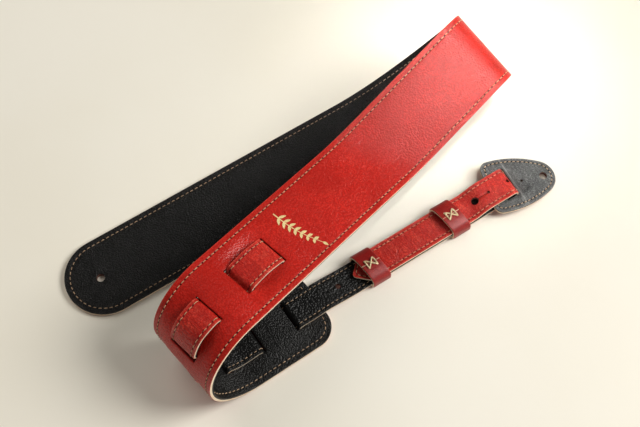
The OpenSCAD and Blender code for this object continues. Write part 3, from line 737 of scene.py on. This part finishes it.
RED = leather("red_leather", (0.56, 0.017, 0.010), (0.32, 0.006, 0.003), (0.66, 0.055, 0.030),
              1.45, 0.27, 0.32, STRAP_INSET, STITCH_PITCH, 0.2, sheen=0.34)
ADJUSTER_RED = leather("adjuster_red_leather",
                       (0.68, 0.034, 0.020), (0.30, 0.006, 0.005), (0.86, 0.14, 0.085),
                       1.5, 0.24, 0.31, ADJUSTER_INSET, ADJUSTER_PITCH, 0.45, 0.26, 0.42, hole_shade=0.75)
KEEPER_RED = leather("keeper_red_leather", (0.36, 0.012, 0.009), (0.20, 0.005, 0.005), (0.55, 0.05, 0.03),
                     0.9, 0.07, 0.38, 90.0, 5.0, 0.6, 0.10, 0.45)
BLACK = leather("black_lining", (0.0095, 0.0095, 0.0095), (0.004, 0.004, 0.004), (0.026, 0.026, 0.025),
                1.1, 0.60, 0.30, STRAP_INSET, STITCH_PITCH, 0.4, sheen=0.27)
ADJUSTER_BLACK = leather("adjuster_black_lining",
                         (0.009, 0.009, 0.009), (0.004, 0.004, 0.004), (0.026, 0.026, 0.025),
                         1.6, 0.70, 0.28, ADJUSTER_INSET, ADJUSTER_PITCH, 0.5, sheen=0.24)
TAB_GREY = leather("tab_lining", (0.115, 0.120, 0.118), (0.030, 0.032, 0.033), (0.30, 0.305, 0.30),
                   1.2, 0.26, 0.5, TAB_INSET, TAB_PITCH, 0.7, 0.10, 0.35,
                   flecks=0.55, bend=(TAB_BEND, TAB_BEND_AT))
CREAM_EDGE = cut_edge("cut_edge_cream", (0.93, 0.80, 0.62), (0.84, 0.62, 0.43))
BLACK_EDGE = cut_edge("cut_edge_black", (0.022, 0.020, 0.019), (0.010, 0.009, 0.009))
# walls of the holes: dark brown, painted shade inside the holes
SHADED_HOLE_WALL = cut_edge("hole_wall_painted_shade", (0.14, 0.055, 0.035), (0.06, 0.025, 0.018))
# walls of the slots in the red face: dark red, painted shade inside the slots
SHADED_SLOT_WALL = cut_edge("slot_wall_painted_shade", (0.20, 0.012, 0.008), (0.07, 0.006, 0.004))
GLUE_SIDE = cut_edge("flesh_side", (0.55, 0.36, 0.24), (0.42, 0.26, 0.17))
THREAD = cord("tan_thread", (0.74, 0.52, 0.31), (0.48, 0.30, 0.16), 900.0)
DARK_THREAD = cord("lining_thread", (0.62, 0.42, 0.26), (0.36, 0.23, 0.14), 900.0)
LACE = cord("lacing_cord", (0.86, 0.74, 0.48), (0.62, 0.48, 0.26), 500.0)
FOIL = foil_material()


# ---- the wide strap ----
def strap_rows(start, end):
    """Rows along the strap, with one on each slot's edges."""
    rows = list(even(start, end, 2.2))
    edges = [e for slot in SLOTS for e in slot if start < e < end]
    rows = [r for r in rows if all(abs(r - e) > 0.7 for e in edges)]
    rows += edges
    rows += [low - 0.35 for low, _ in SLOTS] + [high + 0.35 for _, high in SLOTS if high < end]
    return np.array(sorted(rows))


def front_end_rows():
    a = np.linspace(0.03, math.pi / 2, 26)
    return HALF * (1 - np.cos(a))


def tail_end_rows():
    a = np.linspace(0, math.pi / 2, 20)[1:]
    return STRAP_LENGTH - TAIL_CORNER * (1 - np.sin(a))


slot_half = SLOT_LENGTH / 2
inner_columns = np.array([slot_half + 3.2, slot_half + 1.4, slot_half + 0.35, slot_half])
wide_columns = np.concatenate([half_columns(HALF, STRAP_INSET, slot_half + 4.5, 2.4), inner_columns])
middle_columns = np.linspace(-slot_half, slot_half, 13)[1:-1]
columns = both_sides(wide_columns, middle_columns)
front_rows = np.concatenate([front_end_rows(), even(HALF, BEND_CUT, 2.2)[1:]])
rear_rows = np.concatenate([strap_rows(BEND_CUT, STRAP_LENGTH - TAIL_CORNER), tail_end_rows()])


def corner_arc(s, w, radius, way, steps):
    """A quarter circle of seam points from a side to an end; way is 1 or -1 along the strap."""
    turns = np.linspace(0, math.pi / 2, steps)
    return [(s + way * radius * math.sin(a), w + radius * math.cos(a)) for a in turns]


def seam_path(cut, half, turn):
    """A seam from the cut, round one end by turn and its mirror image, and back to the cut."""
    return [(cut, half)] + turn + [(s, -w) for s, w in reversed(turn)] + [(cut, -half)]


seam_half = HALF - STRAP_INSET
half_turn = np.linspace(math.pi / 2, 1.5 * math.pi, 60)
round_end = [(HALF + seam_half * math.cos(a), seam_half * math.sin(a)) for a in half_turn]
front_seam = [(BEND_CUT, seam_half)] + round_end + [(BEND_CUT, -seam_half)]
tail_corner = corner_arc(STRAP_LENGTH - TAIL_CORNER, HALF - TAIL_CORNER, TAIL_CORNER - STRAP_INSET, 1, 16)
rear_seam = seam_path(BEND_CUT, seam_half, tail_corner)


STRAP_ENDS = (("folded", front_rows, front_seam), ("curled", rear_rows, rear_seam))


def strap_layers(side, outer, materials):
    """One leather of the wide strap, as its two pieces."""
    return [layer(f"main_{side}_{end}", rows, columns, strap_half, strap_edge, bulged_point, outer, materials,
                  STRAP_INSET, seam, STITCH_PITCH, slots=end == "curled") for end, rows, seam in STRAP_ENDS]


def strap_seams(side, surface, material):
    """One thread of the wide strap's seam, as its two pieces."""
    return [stitches(f"main_{side}_stitches_{end}", seam, bulged_point, STITCH_PITCH, surface, material)
            for end, rows, seam in STRAP_ENDS]


main_face, upper_face = strap_layers("face", -STRAP_FACE, [RED, CREAM_EDGE, GLUE_SIDE, SHADED_SLOT_WALL])
main_lining, upper_lining = strap_layers("lining", STRAP_LINING, [BLACK, BLACK_EDGE, GLUE_SIDE, BLACK_EDGE])
for obj in (main_face, main_lining):
    cut_hole(obj, (0, 0, STRAP_FACE), (0, 0, 1), HOLE_DIAMETER, 12, SHADED_HOLE_WALL)
needle_front, needle_rear = strap_seams("needle", -STRAP_FACE, THREAD)
bobbin_front, bobbin_rear = strap_seams("bobbin", STRAP_LINING, DARK_THREAD)

# ---- the adjuster ----
adjuster_columns = both_sides(half_columns(ADJUSTER_HALF, ADJUSTER_INSET, 0.9, 1.8), np.array([0.0]))
corner_rows = ADJUSTER_START + WEAVE_CORNER * (1 - np.cos(np.linspace(0.04, math.pi / 2, 10)))
weave_rows = np.concatenate([corner_rows, even(ADJUSTER_START + WEAVE_CORNER, WEAVE_CUT, 0.8)[1:]])
tip_rows = LOOP_LENGTH - TIP_LENGTH * (1 - np.sin(np.linspace(0, math.pi / 2, 22)))[1:] - 0.02
run_rows = even(WOVEN_LENGTH, LOOP_LENGTH - TIP_LENGTH, 1.2)
loop_rows = np.concatenate([even(0, WOVEN_LENGTH, 0.8)[:-1], run_rows, tip_rows])
seam_at = ADJUSTER_HALF - ADJUSTER_INSET
weave_radius = WEAVE_CORNER - ADJUSTER_INSET
weave_turn = corner_arc(ADJUSTER_START + WEAVE_CORNER, seam_at - weave_radius, weave_radius, -1, 12)
weave_seam = seam_path(WEAVE_CUT, seam_at, weave_turn)
tip_seam = [(q, max(float(tip_half(LOOP_LENGTH - q)) - ADJUSTER_INSET, 0.0))
            for q in np.linspace(LOOP_LENGTH - TIP_LENGTH - 3, LOOP_LENGTH - ADJUSTER_INSET - 0.6, 14)]
loop_seam = seam_path(0.0, seam_at, tip_seam)


def loop_half(q):
    return tip_half(LOOP_LENGTH - q)


ADJUSTER_ENDS = (("weave", weave_rows, weave_half, weave_edge, adjuster_point, weave_seam),
                 ("loop", loop_rows, loop_half, loop_edge, loop_point, loop_seam))


def adjuster_layers(side, outer, skin, rim):
    """One leather of the adjuster, as its two pieces."""
    return [layer(f"adjuster_{side}_{end}", rows, adjuster_columns, half, edge, point, outer,
                  [skin, rim, GLUE_SIDE], ADJUSTER_INSET, seam, ADJUSTER_PITCH)
            for end, rows, half, edge, point, seam in ADJUSTER_ENDS]


def adjuster_seams(side, surface, material):
    """One thread of the adjuster's seam, as its two pieces."""
    return [stitches(f"adjuster_{side}_stitches_{end}", seam, point, ADJUSTER_PITCH, surface, material,
                     ADJUSTER_THREAD_RADIUS) for end, _, _, _, point, seam in ADJUSTER_ENDS]


face_weave, face_loop = adjuster_layers("face", -ADJUSTER_FACE, ADJUSTER_RED, CREAM_EDGE)
lining_weave, lining_loop = adjuster_layers("lining", ADJUSTER_LINING, ADJUSTER_BLACK, BLACK_EDGE)
MID_LAYERS = LOW_GLUE + ADJUSTER_LINING + LAYER_GAP / 2
KEYHOLE_END, KEYHOLE_CUT, SLIT_HALF = KEYHOLE + KEYHOLE_SLIT, 20.0, 0.13
for obj in (face_loop, lining_loop):
    for at, up, diameter, depth in (
        (RUN_HOLE, LOW_GLUE - 1, RUN_HOLE_DIAMETER, 8),
        (KEYHOLE, MID_LAYERS + KEYHOLE_CUT / 2, KEYHOLE_DIAMETER, KEYHOLE_CUT),
        (KEYHOLE_END, MID_LAYERS + KEYHOLE_CUT / 2, KEYHOLE_DIAMETER / 2.5, KEYHOLE_CUT),
    ):
        cut_hole(obj, run_frame(at, 0.0, up), (0, 0, 1), diameter, depth, SHADED_HOLE_WALL)
    slit = ((KEYHOLE, -SLIT_HALF), (KEYHOLE_END, -SLIT_HALF), (KEYHOLE_END, SLIT_HALF), (KEYHOLE, SLIT_HALF))
    cut_with(obj, prism(slit, MID_LAYERS, MID_LAYERS + KEYHOLE_CUT, run_frame, SHADED_HOLE_WALL))
    out, up = math.cos(BIGHT_HOLE_TURN), math.sin(BIGHT_HOLE_TURN)
    reach = LOOP_RADIUS + ADJUSTER_FACE / 2
    bight = run_frame(LOOP_AT + reach * out, 0.0, LOW_GLUE + LOOP_RADIUS + reach * up)
    cut_hole(obj, bight, RUN_WAY * out + np.array([0, 0, up]), BIGHT_HOLE_DIAMETER, 6, SHADED_HOLE_WALL)

needle_weave, needle_loop = adjuster_seams("needle", -ADJUSTER_FACE, THREAD)
bobbin_weave, bobbin_loop = adjuster_seams("bobbin", ADJUSTER_LINING, DARK_THREAD)

# ---- the keepers ----
CAVITY_FLOOR = RUN_HEIGHT - 0.28
CAVITY_TOP = TOP_GLUE + ADJUSTER_FACE + 0.37
CAVITY_HALF = ADJUSTER_HALF + 0.8
WAIST = (CAVITY_TOP + CAVITY_FLOOR) / 2
BAND_TOP, BAND_SQUARENESS = CAVITY_TOP + 3.3, 2.6
BAND_FLARE = 0.8  # how much higher the arch is at the end nearer the slots
BAND_STEP = 0.5  # the far half stands this much proud at the joint
BAND_SKEW = math.tan(math.radians(7))
LACING_REACH, LACING_SPREAD, LACING_DEPTH = 3.8, 3.8, 0.9


def band_rise(x):
    """Extra height of the arch, x from the band's middle towards the tab."""
    return BAND_FLARE * (0.5 - x / KEEPER_WIDTH)


def band_step(across):
    return np.where(across > 0, BAND_STEP * np.exp(-((across / 4) ** 2)), 0)


def band_outline(grow, rise, count):
    """(across, up) points round the band from the joint on top, and back to it."""
    wide, floor = CAVITY_HALF + grow, CAVITY_FLOOR - grow
    arch = BAND_TOP + rise + grow - WAIST
    corner = 1.0 + grow * 0.9
    power = 2 / BAND_SQUARENESS
    a = np.linspace(math.pi / 2, 0, 60)
    top = np.stack([wide * np.clip(np.cos(a), 0, 1) ** power, WAIST + arch * np.sin(a) ** power], 1)
    foot = np.stack([wide - corner * (1 - np.cos(a)), floor + corner * (1 - np.sin(a))], 1)[::-1]
    half = np.concatenate([top, foot, [[0, floor]]])
    line = np.concatenate([half, (half[:-1] * [-1, 1])[::-1]])
    length = np.concatenate([[0], np.cumsum(np.hypot(*np.diff(line, axis=0).T))])
    at = np.linspace(0, length[-1], count)
    return np.stack([np.interp(at, length, line[:, i]) for i in (0, 1)], 1)


def keeper(name, centre, open_end):
    """A leather band round both layers of the adjuster, butt-jointed on top. The joint gapes at one end."""
    count = 141
    end = np.array([0, 0.12, 0.35, 0.7])
    along = np.concatenate([end, even(1.6, KEEPER_WIDTH - 1.6, 1.2), KEEPER_WIDTH - end[::-1]])
    edge = np.minimum(along, KEEPER_WIDTH - along)
    rises = band_rise(along - KEEPER_WIDTH / 2)
    inner = np.array([band_outline(0.0, rise, count) for rise in rises])
    outer = np.array([band_outline(KEEPER_THICKNESS, rise, count) for rise in rises])
    way = (outer - inner) / np.linalg.norm(outer - inner, axis=-1)[..., None]
    outer = outer - way * edge_round(edge, 0.6)[:, None, None]
    gape = 0.12 + 0.4 * (1 - ease(np.abs(along - open_end * KEEPER_WIDTH) / 6))
    for skin in (inner, outer):
        skin[:, 0, 0] += gape
        skin[:, -1, 0] -= gape
    x = centre - KEEPER_WIDTH / 2 + along[:, None] - outer[..., 0] * BAND_SKEW
    skins = [run_frame(x, skin[..., 0], skin[..., 1] + band_step(skin[..., 0])).reshape(-1, 3)
             for skin in (inner, outer)]
    faces, places = grid_faces(len(along), count, np.zeros((len(along) - 1, count - 1), bool))
    faces = [tuple(reversed(f)) for f in faces]
    kinds = {0: 2, 1: 0, 2: 1}
    obj = make_object(name, np.concatenate(skins), faces, [KEEPER_RED, CREAM_EDGE, GLUE_SIDE],
                      [kinds[p] for p in places])
    round_way = np.linspace(0, 1, count) * 80
    uv = np.stack(np.broadcast_arrays(round_way[None], along[:, None]), -1).reshape(-1, 2)
    vertex_uv(obj, "Leather", np.tile(uv, (2, 1)))
    seam = np.stack(np.broadcast_arrays(round_way[None], edge[:, None]), -1).reshape(-1, 2)
    vertex_uv(obj, "Seam", np.tile(seam, (2, 1)))
    return obj


def tube(points, radius, around):
    """Vertices of a round cord through the given points."""
    points = np.asarray(points, float)
    way = np.gradient(points, axis=0)
    way /= np.linalg.norm(way, axis=1)[:, None]
    side = np.cross(way, [0.31, 0.17, 0.94])
    side /= np.linalg.norm(side, axis=1)[:, None]
    over = np.cross(side, way)
    a = np.linspace(0, 2 * math.pi, around, endpoint=False)
    ring = side[:, None] * np.cos(a)[None, :, None] + over[:, None] * np.sin(a)[None, :, None]
    return (points[:, None] + radius * ring).reshape(-1, 3)


def band_height(x, y):
    """Top of a band, x from its middle towards the tab and y across."""
    arch = BAND_TOP + KEEPER_THICKNESS + band_rise(x) - WAIST
    wide = CAVITY_HALF + KEEPER_THICKNESS
    return WAIST + arch * (1 - np.abs(y / wide) ** BAND_SQUARENESS) ** (1 / BAND_SQUARENESS) + band_step(y)


def lacing(name, centre):
    """Cord over the band's joint, through four holes: a stitch at each side of two crossing ones."""
    radius, around = LACING_DIAMETER / 2, 10
    holes = [(x * LACING_REACH, y * LACING_SPREAD) for x in (-1, 1) for y in (-1, 1)]
    vertices, faces = [], []
    for a, b, height in ((0, 3, 1.15), (1, 2, 0.0), (0, 1, 0.1), (2, 3, 0.1)):
        t = np.linspace(0, 1, 21)
        x = holes[a][0] + (holes[b][0] - holes[a][0]) * t
        y = holes[a][1] + (holes[b][1] - holes[a][1]) * t
        rise = np.clip(np.minimum(t, 1 - t) / 0.14, 0, 1)
        z = band_height(x, y) - LACING_DEPTH + (LACING_DEPTH + radius) * np.sin(rise * math.pi / 2)
        z = z + height * np.sin(math.pi * t) ** 2
        faces += tube_faces(len(vertices) * len(t) * around, len(t), around)
        vertices.append(tube(run_frame(centre + x - y * BAND_SKEW, y, z), radius, around))
    return make_object(name, np.concatenate(vertices), faces, [LACE], smooth_angle=THREAD_SMOOTH)


keepers = {}
for key, centre, open_end in (("lower", LOWER_KEEPER_AT, 0), ("upper", UPPER_KEEPER_AT, 1)):
    keepers[key] = (keeper(f"{key}_keeper_leather", centre, open_end), lacing(f"{key}_keeper_cord", centre))

# ---- the end tab ----
TAB_LEFT = -(TAB_WEB + 3)
WEB_EDGE = TAB_LEFT + TAB_WEB
TAB_TIP = TAB_LEFT + TAB_LENGTH
TAB_HOLE = TAB_TIP - TAB_HOLE_FROM_TIP
TAB_BASE = RUN_HEIGHT + ADJUSTER_THICKNESS + WEB_CLEARANCE
TAB_HEADING = RUN_HEADING + math.radians(TAB_TURN)
DROOP = math.radians(TAB_DROOP)
TAB_LEVEL = np.array([math.cos(TAB_HEADING), math.sin(TAB_HEADING), 0])
TAB_SIDE = np.array([-math.sin(TAB_HEADING), math.cos(TAB_HEADING), 0])
TAB_WAY = TAB_LEVEL * math.cos(DROOP) - np.array([0, 0, math.sin(DROOP)])
TAB_UP = TAB_LEVEL * math.sin(DROOP) + np.array([0, 0, math.cos(DROOP)])
TAB_ORIGIN = run_frame(TAB_PIVOT, 0.0, TAB_BASE) + TAB_LEVEL * WEB_EDGE


def tab_point(x, y, z):
    x, y, z = np.broadcast_arrays(np.asarray(x, float), np.asarray(y, float), np.asarray(z, float))
    return TAB_ORIGIN + (x - WEB_EDGE)[..., None] * TAB_WAY + y[..., None] * TAB_SIDE + z[..., None] * TAB_UP


SHOULDER, NOSE, SIDE = 7.0, 15.0, 80.0


def tab_arcs():
    """Centres of the shoulder, side and nose arcs, and the side arc's two angles."""
    shoulder = np.array([TAB_LEFT + SHOULDER, TAB_WIDTH / 2 - SHOULDER])
    nose = np.array([TAB_TIP - NOSE, 0.0])
    span = nose - shoulder
    size = math.hypot(*span)
    along = (size**2 + (SIDE - SHOULDER) ** 2 - (SIDE - NOSE) ** 2) / (2 * size)
    drop = math.sqrt((SIDE - SHOULDER) ** 2 - along**2)
    unit = span / size
    side = shoulder + unit * along + np.array([unit[1], -unit[0]]) * drop
    return shoulder, side, nose, math.atan2(*(shoulder - side)[::-1]), math.atan2(*(nose - side)[::-1])


def tab_outline(inset):
    """Points round the tab at a distance inside its edge, and the length along the edge."""
    shoulder, side, nose, a, b = tab_arcs()
    arcs = ((shoulder, SHOULDER, np.linspace(math.pi, a, 14)[:-1]),
            (side, SIDE, np.linspace(a, b, 30)[:-1]),
            (nose, NOSE, np.linspace(b, 0, 26)))
    up = []
    for centre, radius, turns in arcs:
        for t in turns:
            up.append(centre + (radius - inset) * np.array([math.cos(t), math.sin(t)]))
    up = np.array(up)
    left = np.linspace(0, up[0][1], 12)[:-1]
    straight = np.stack([np.full_like(left, up[0][0]), left], 1)
    half = np.concatenate([straight, up])
    return np.concatenate([half, (half[1:-1] * [1, -1])[::-1]])


tab_seam = np.concatenate([tab_outline(TAB_INSET), tab_outline(TAB_INSET)[:1]])


def slot_tool(low, high, material):
    """The tab's opening: straight along the web, and close round the adjuster's loop elsewhere."""
    c, n = math.cos(math.radians(TAB_TURN)), -math.sin(math.radians(TAB_TURN))
    half = ADJUSTER_HALF + 0.35
    reach = LOOP_AT + LOOP_RADIUS + ADJUSTER_FACE + 0.1 - TAB_PIVOT
    web = [(WEB_EDGE, (v + WEB_EDGE * n) / c) for v in (-half, half)]
    ends = ((-half, reach), (half, reach + SWING_PLAY))
    loop = [(u * c - v * n, u * n + v * c) for v, u in ends]
    return prism([web[0], loop[0], loop[1], web[1]], low, high, tab_point, material)


def tab_layer(name, low, high, outer_up, materials):
    """One leather layer of the tab: rings of points from the edge inwards, then a flat middle."""
    insets = [0, 0.12, 0.3, 0.6, 1.2, 2.0, 2.5, 2.85, 3.2, 3.55, 3.9, 4.6, 5.6, 6.6]
    rings = [tab_outline(i) for i in insets]
    count = len(rings[0])
    vertices, seam, flat = [], [], []
    for skin in (0, 1):
        for inset, ring in zip(insets, rings):
            worn = float(edge_round(np.array(inset), EDGE_RADIUS) + seam_dip(np.array(inset), TAB_INSET))
            is_outer = (skin == 1) == outer_up
            z = (high - worn if outer_up else low + worn) if is_outer else (low if outer_up else high)
            vertices.append(tab_point(ring[:, 0], ring[:, 1], z))
            number = stitch_numbers(tab_seam, TAB_PITCH, ring[:, 0], ring[:, 1])
            seam.append(np.stack([number, np.full(count, inset)], 1))
            flat.append(ring)
    outer_skin = 1 if outer_up else 0
    size = len(insets) * count
    faces, kinds = [], []
    for skin in (0, 1):
        for i in range(len(insets) - 1):
            for j in range(count):
                a, b = skin * size + i * count + j, skin * size + i * count + (j + 1) % count
                face = (a, b, b + count, a + count)
                faces.append(face if skin == 0 else face[::-1])
                kinds.append(0 if skin == outer_skin else 2)
        last = [skin * size + (len(insets) - 1) * count + j for j in range(count)]
        faces.append(tuple(last) if skin == 0 else tuple(last[::-1]))
        kinds.append(0 if skin == outer_skin else 2)
    for j in range(count):
        a, b = j, (j + 1) % count
        faces.append((a, a + size, b + size, b))
        kinds.append(1)
    obj = make_object(name, np.concatenate(vertices), faces, materials, kinds)
    vertex_uv(obj, "Leather", np.concatenate(flat))
    vertex_uv(obj, "Seam", np.concatenate(seam))
    cut_with(obj, slot_tool(low - 2, high + 2, materials[1]))
    mid = (low + high) / 2
    cut_hole(obj, tab_point(TAB_HOLE, 0, mid), TAB_UP, HOLE_DIAMETER, 8, SHADED_HOLE_WALL)
    cut_hole(obj, tab_point(TAB_HOLE - RELIEF_FROM_HOLE, 0, mid), TAB_UP, RELIEF_DIAMETER, 8, SHADED_HOLE_WALL)
    return obj


TAB_TOP = TAB_FACE + TAB_LINING
tab_face = tab_layer("tab_face_leather", 0.0, TAB_FACE, False, [RED, CREAM_EDGE, GLUE_SIDE])
tab_lining = tab_layer("tab_lining_leather", TAB_FACE, TAB_TOP, True, [TAB_GREY, BLACK_EDGE, GLUE_SIDE])
tab_needle = stitches("tab_needle_stitches", tab_seam, tab_point, TAB_PITCH, TAB_TOP, THREAD)
tab_bobbin = stitches("tab_bobbin_stitches", tab_seam, tab_point, TAB_PITCH, -0.001, THREAD)


# ---- the foil sprig ----
def leaf(s, w, heading, length, width):
    """Outline of a small pointed leaf on the strap, from its stalk."""
    t = np.concatenate([np.linspace(0, 1, 9), np.linspace(1, 0, 9)[1:-1]])
    side = np.concatenate([np.ones(9), -np.ones(7)])
    along = t * length
    across = side * width / 2 * np.sin(math.pi * t**0.8) ** 0.9
    c, n = math.cos(heading), math.sin(heading)
    return np.stack([s + along * c - across * n, w + along * n + across * c], 1)


def stalk(start, end, bow, width):
    t = np.linspace(0, 1, 24)
    s = start[0] + (end[0] - start[0]) * t + bow * np.sin(math.pi * t)
    w = start[1] + (end[1] - start[1]) * t
    half = width / 2 * (1 - 0.6 * t)
    return np.concatenate([np.stack([s + half, w], 1), np.stack([s - half, w], 1)[::-1]])


def sprig():
    """A leafy sprig across the strap, as a thin foil on the red face."""
    shapes = [stalk((638, 20), (629, -22), 2.5, 1.0)]
    for k in range(7):
        t = 0.12 + 0.12 * k
        s = 638 - 9 * t + 2.5 * math.sin(math.pi * t)
        w = 20 - 42 * t
        size = 6.5 - 0.4 * k
        for turn in (-1, 1):
            shapes.append(leaf(s, w, -math.pi / 2 - 0.2 + turn * 0.95, size, 2.3))
    shapes.append(leaf(629, -21.5, -math.pi / 2 - 0.2, 5.0, 2.2))
    vertices, faces = [], []
    for shape in shapes:
        n = len(shape)
        base = sum(len(v) for v in vertices)
        low = bulged_point(shape[:, 0], shape[:, 1], np.full(n, -STRAP_FACE - 0.01))
        high = bulged_point(shape[:, 0], shape[:, 1], np.full(n, -STRAP_FACE - 0.06))
        vertices.append(np.concatenate([low, high]))
        faces.append(tuple(base + i for i in range(n)))
        faces.append(tuple(base + n + i for i in reversed(range(n))))
        faces += [(base + i, base + n + i, base + n + (i + 1) % n, base + (i + 1) % n) for i in range(n)]
    return make_object("foil_sprig", np.concatenate(vertices), faces, [FOIL])


foil = sprig()

# ---- who rides on what ----
FOLD_REACH = 15 * MM
FLEX_NEAR, FLEX_FAR = 6 * MM, 12 * MM
joints = {j["name"]: j for j in frame["joints"]}
fold_axis = np.array(joints["fold_hinge"]["axis"], float)
fold_at = np.array(joints["fold_hinge"]["pos_m"], float)
fold_up = np.array([0, 0, 1.0]) - fold_axis * fold_axis[2]
fold_up /= np.linalg.norm(fold_up)
flex_at = np.array(joints["adjuster_flex"]["pos_m"], float)
FOLD = ("front_leg", "shoulder", fold_at - fold_up * FOLD_REACH, fold_at + fold_up * FOLD_REACH)
FLEX = ("shoulder", "adjuster_run", flex_at - RUN_WAY * FLEX_NEAR, flex_at + RUN_WAY * FLEX_FAR)

# each piece, the body it rides on or the two it blends between, its CAD node and its slot
for piece, body, node, slot in (
    (upper_face, "shoulder", "main_face_rear", "face_leather"),
    (upper_lining, "shoulder", "main_lining_rear", "lining_leather"),
    (needle_rear, "shoulder", "main_needle_thread_rear", "thread"),
    (bobbin_rear, "shoulder", "main_bobbin_thread_rear", "thread"),
    (face_weave, "shoulder", "adjuster_face_woven", "face_leather"),
    (lining_weave, "shoulder", "adjuster_lining_woven", "lining_leather"),
    (needle_weave, "shoulder", "adjuster_needle_thread_woven", "thread"),
    (bobbin_weave, "shoulder", "adjuster_bobbin_thread_woven", "thread"),
    (keepers["lower"][0], "lower_keeper", "lower_keeper_band", "keeper_leather"),
    (keepers["lower"][1], "lower_keeper", "lower_keeper_lacing", "lacing_cord"),
    (keepers["upper"][0], "upper_keeper", "upper_keeper_band", "keeper_leather"),
    (keepers["upper"][1], "upper_keeper", "upper_keeper_lacing", "lacing_cord"),
    (tab_face, "end_tab", "tab_face", "face_leather"),
    (tab_lining, "end_tab", "tab_lining", "tab_lining_leather"),
    (tab_needle, "end_tab", "tab_needle_thread", "thread"),
    (tab_bobbin, "end_tab", "tab_bobbin_thread", "thread"),
    (main_face, FOLD, "main_face_front", "face_leather"),
    (main_lining, FOLD, "main_lining_front", "lining_leather"),
    (needle_front, FOLD, "main_needle_thread_front", "thread"),
    (bobbin_front, FOLD, "main_bobbin_thread_front", "thread"),
    (face_loop, FLEX, "adjuster_face_run", "face_leather"),
    (lining_loop, FLEX, "adjuster_lining_run", "lining_leather"),
    (needle_loop, FLEX, "adjuster_needle_thread_run", "thread"),
    (bobbin_loop, FLEX, "adjuster_bobbin_thread_run", "thread"),
):
    if isinstance(body, str):
        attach(piece, body)
    else:
        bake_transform(piece)
    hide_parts(node)
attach(foil, "shoulder")


# ---- table, light and camera ----
def table_top():
    sh = Shader("table_plaster")
    place = sh.object_place()
    cloud = sh.noise(place, 3.0, 4.0, 0.5)
    grit = sh.noise(place, 60.0, 5.0, 0.6)
    plaster = sh.mix(sh.ramp(cloud, 0.3, 0.7), (0.86, 0.82, 0.71), (0.90, 0.87, 0.78))
    sh.put(sh.bsdf.inputs["Base Color"], plaster)
    sh.bsdf.inputs["Roughness"].default_value = 0.75
    sh.put(sh.bsdf.inputs["Normal"], sh.bump(grit, 0.25, 0.5))
    bpy.ops.mesh.primitive_plane_add(size=6, location=(0.2, 0.1, -0.0007))
    floor = bpy.context.object
    floor.name = "table"
    floor.data.materials.append(sh.material)


def area_light(name, place, target, size, power, colour, beam=180, glossy=True):
    """A round soft light at place, aimed at target; beam is its spread in degrees."""
    data = bpy.data.lights.new(name, "AREA")
    data.shape = "DISK"
    data.size = size
    data.energy = power
    data.color = colour
    data.spread = math.radians(beam)
    light = bpy.data.objects.new(name, data)
    light.visible_glossy = glossy
    light.location = place
    light.rotation_euler = (target - place).to_track_quat("-Z", "Y").to_euler()
    bpy.context.scene.collection.objects.link(light)


table_top()
LOOK_AT = Vector((0.1707, 0.0567, 0.0))
FOLD_SPOT = Vector((0.305, 0.175, 0.06))
WARM, NARROW = (1.0, 0.97, 0.92), 15
window_at = LOOK_AT + 2.0 * Vector((0.70, 0.03, 0.66))
fill_at = LOOK_AT + 1.7 * Vector((-0.50, 0.42, 0.76))
bounce_at = LOOK_AT + Vector((-0.75, -0.75, 0.7))
area_light("window", window_at, LOOK_AT, 1.05, 37.0, (1.0, 0.975, 0.93))
area_light("fill", fill_at, LOOK_AT, 1.3, 9.0, WARM, glossy=False)
area_light("overhead", Vector((0.485, 0.125, 0.995)), FOLD_SPOT, 0.16, 0.085, (1.0, 0.97, 0.94), NARROW)
area_light("side", LOOK_AT + Vector((0.77, 0.61, 0.69)), FOLD_SPOT, 0.25, 0.032, WARM, NARROW)
area_light("bounce", bounce_at, LOOK_AT, 1.4, 0.6, (1.0, 0.96, 0.89), glossy=False)
area_light("front", LOOK_AT + Vector((0.85, -0.85, 0.38)), LOOK_AT, 0.7, 0.9, WARM)
world = bpy.data.worlds.new("studio")
world.use_nodes = True
world.node_tree.nodes["Background"].inputs[0].default_value = (1.0, 0.95, 0.86, 1)
world.node_tree.nodes["Background"].inputs[1].default_value = 0.10
bpy.context.scene.world = world

ELEVATION, DISTANCE, LENS = math.radians(65.5), 0.949, 66.6
camera_data = bpy.data.cameras.new("camera")
camera_data.lens = LENS
camera_data.sensor_width = 36
camera = bpy.data.objects.new("camera", camera_data)
camera.location = LOOK_AT + DISTANCE * Vector((0, -math.cos(ELEVATION), math.sin(ELEVATION)))
camera.rotation_euler = (math.pi / 2 - ELEVATION, 0, 0)
bpy.context.scene.collection.objects.link(camera)
bpy.context.scene.camera = camera
bpy.context.scene.view_settings.view_transform = "Standard"
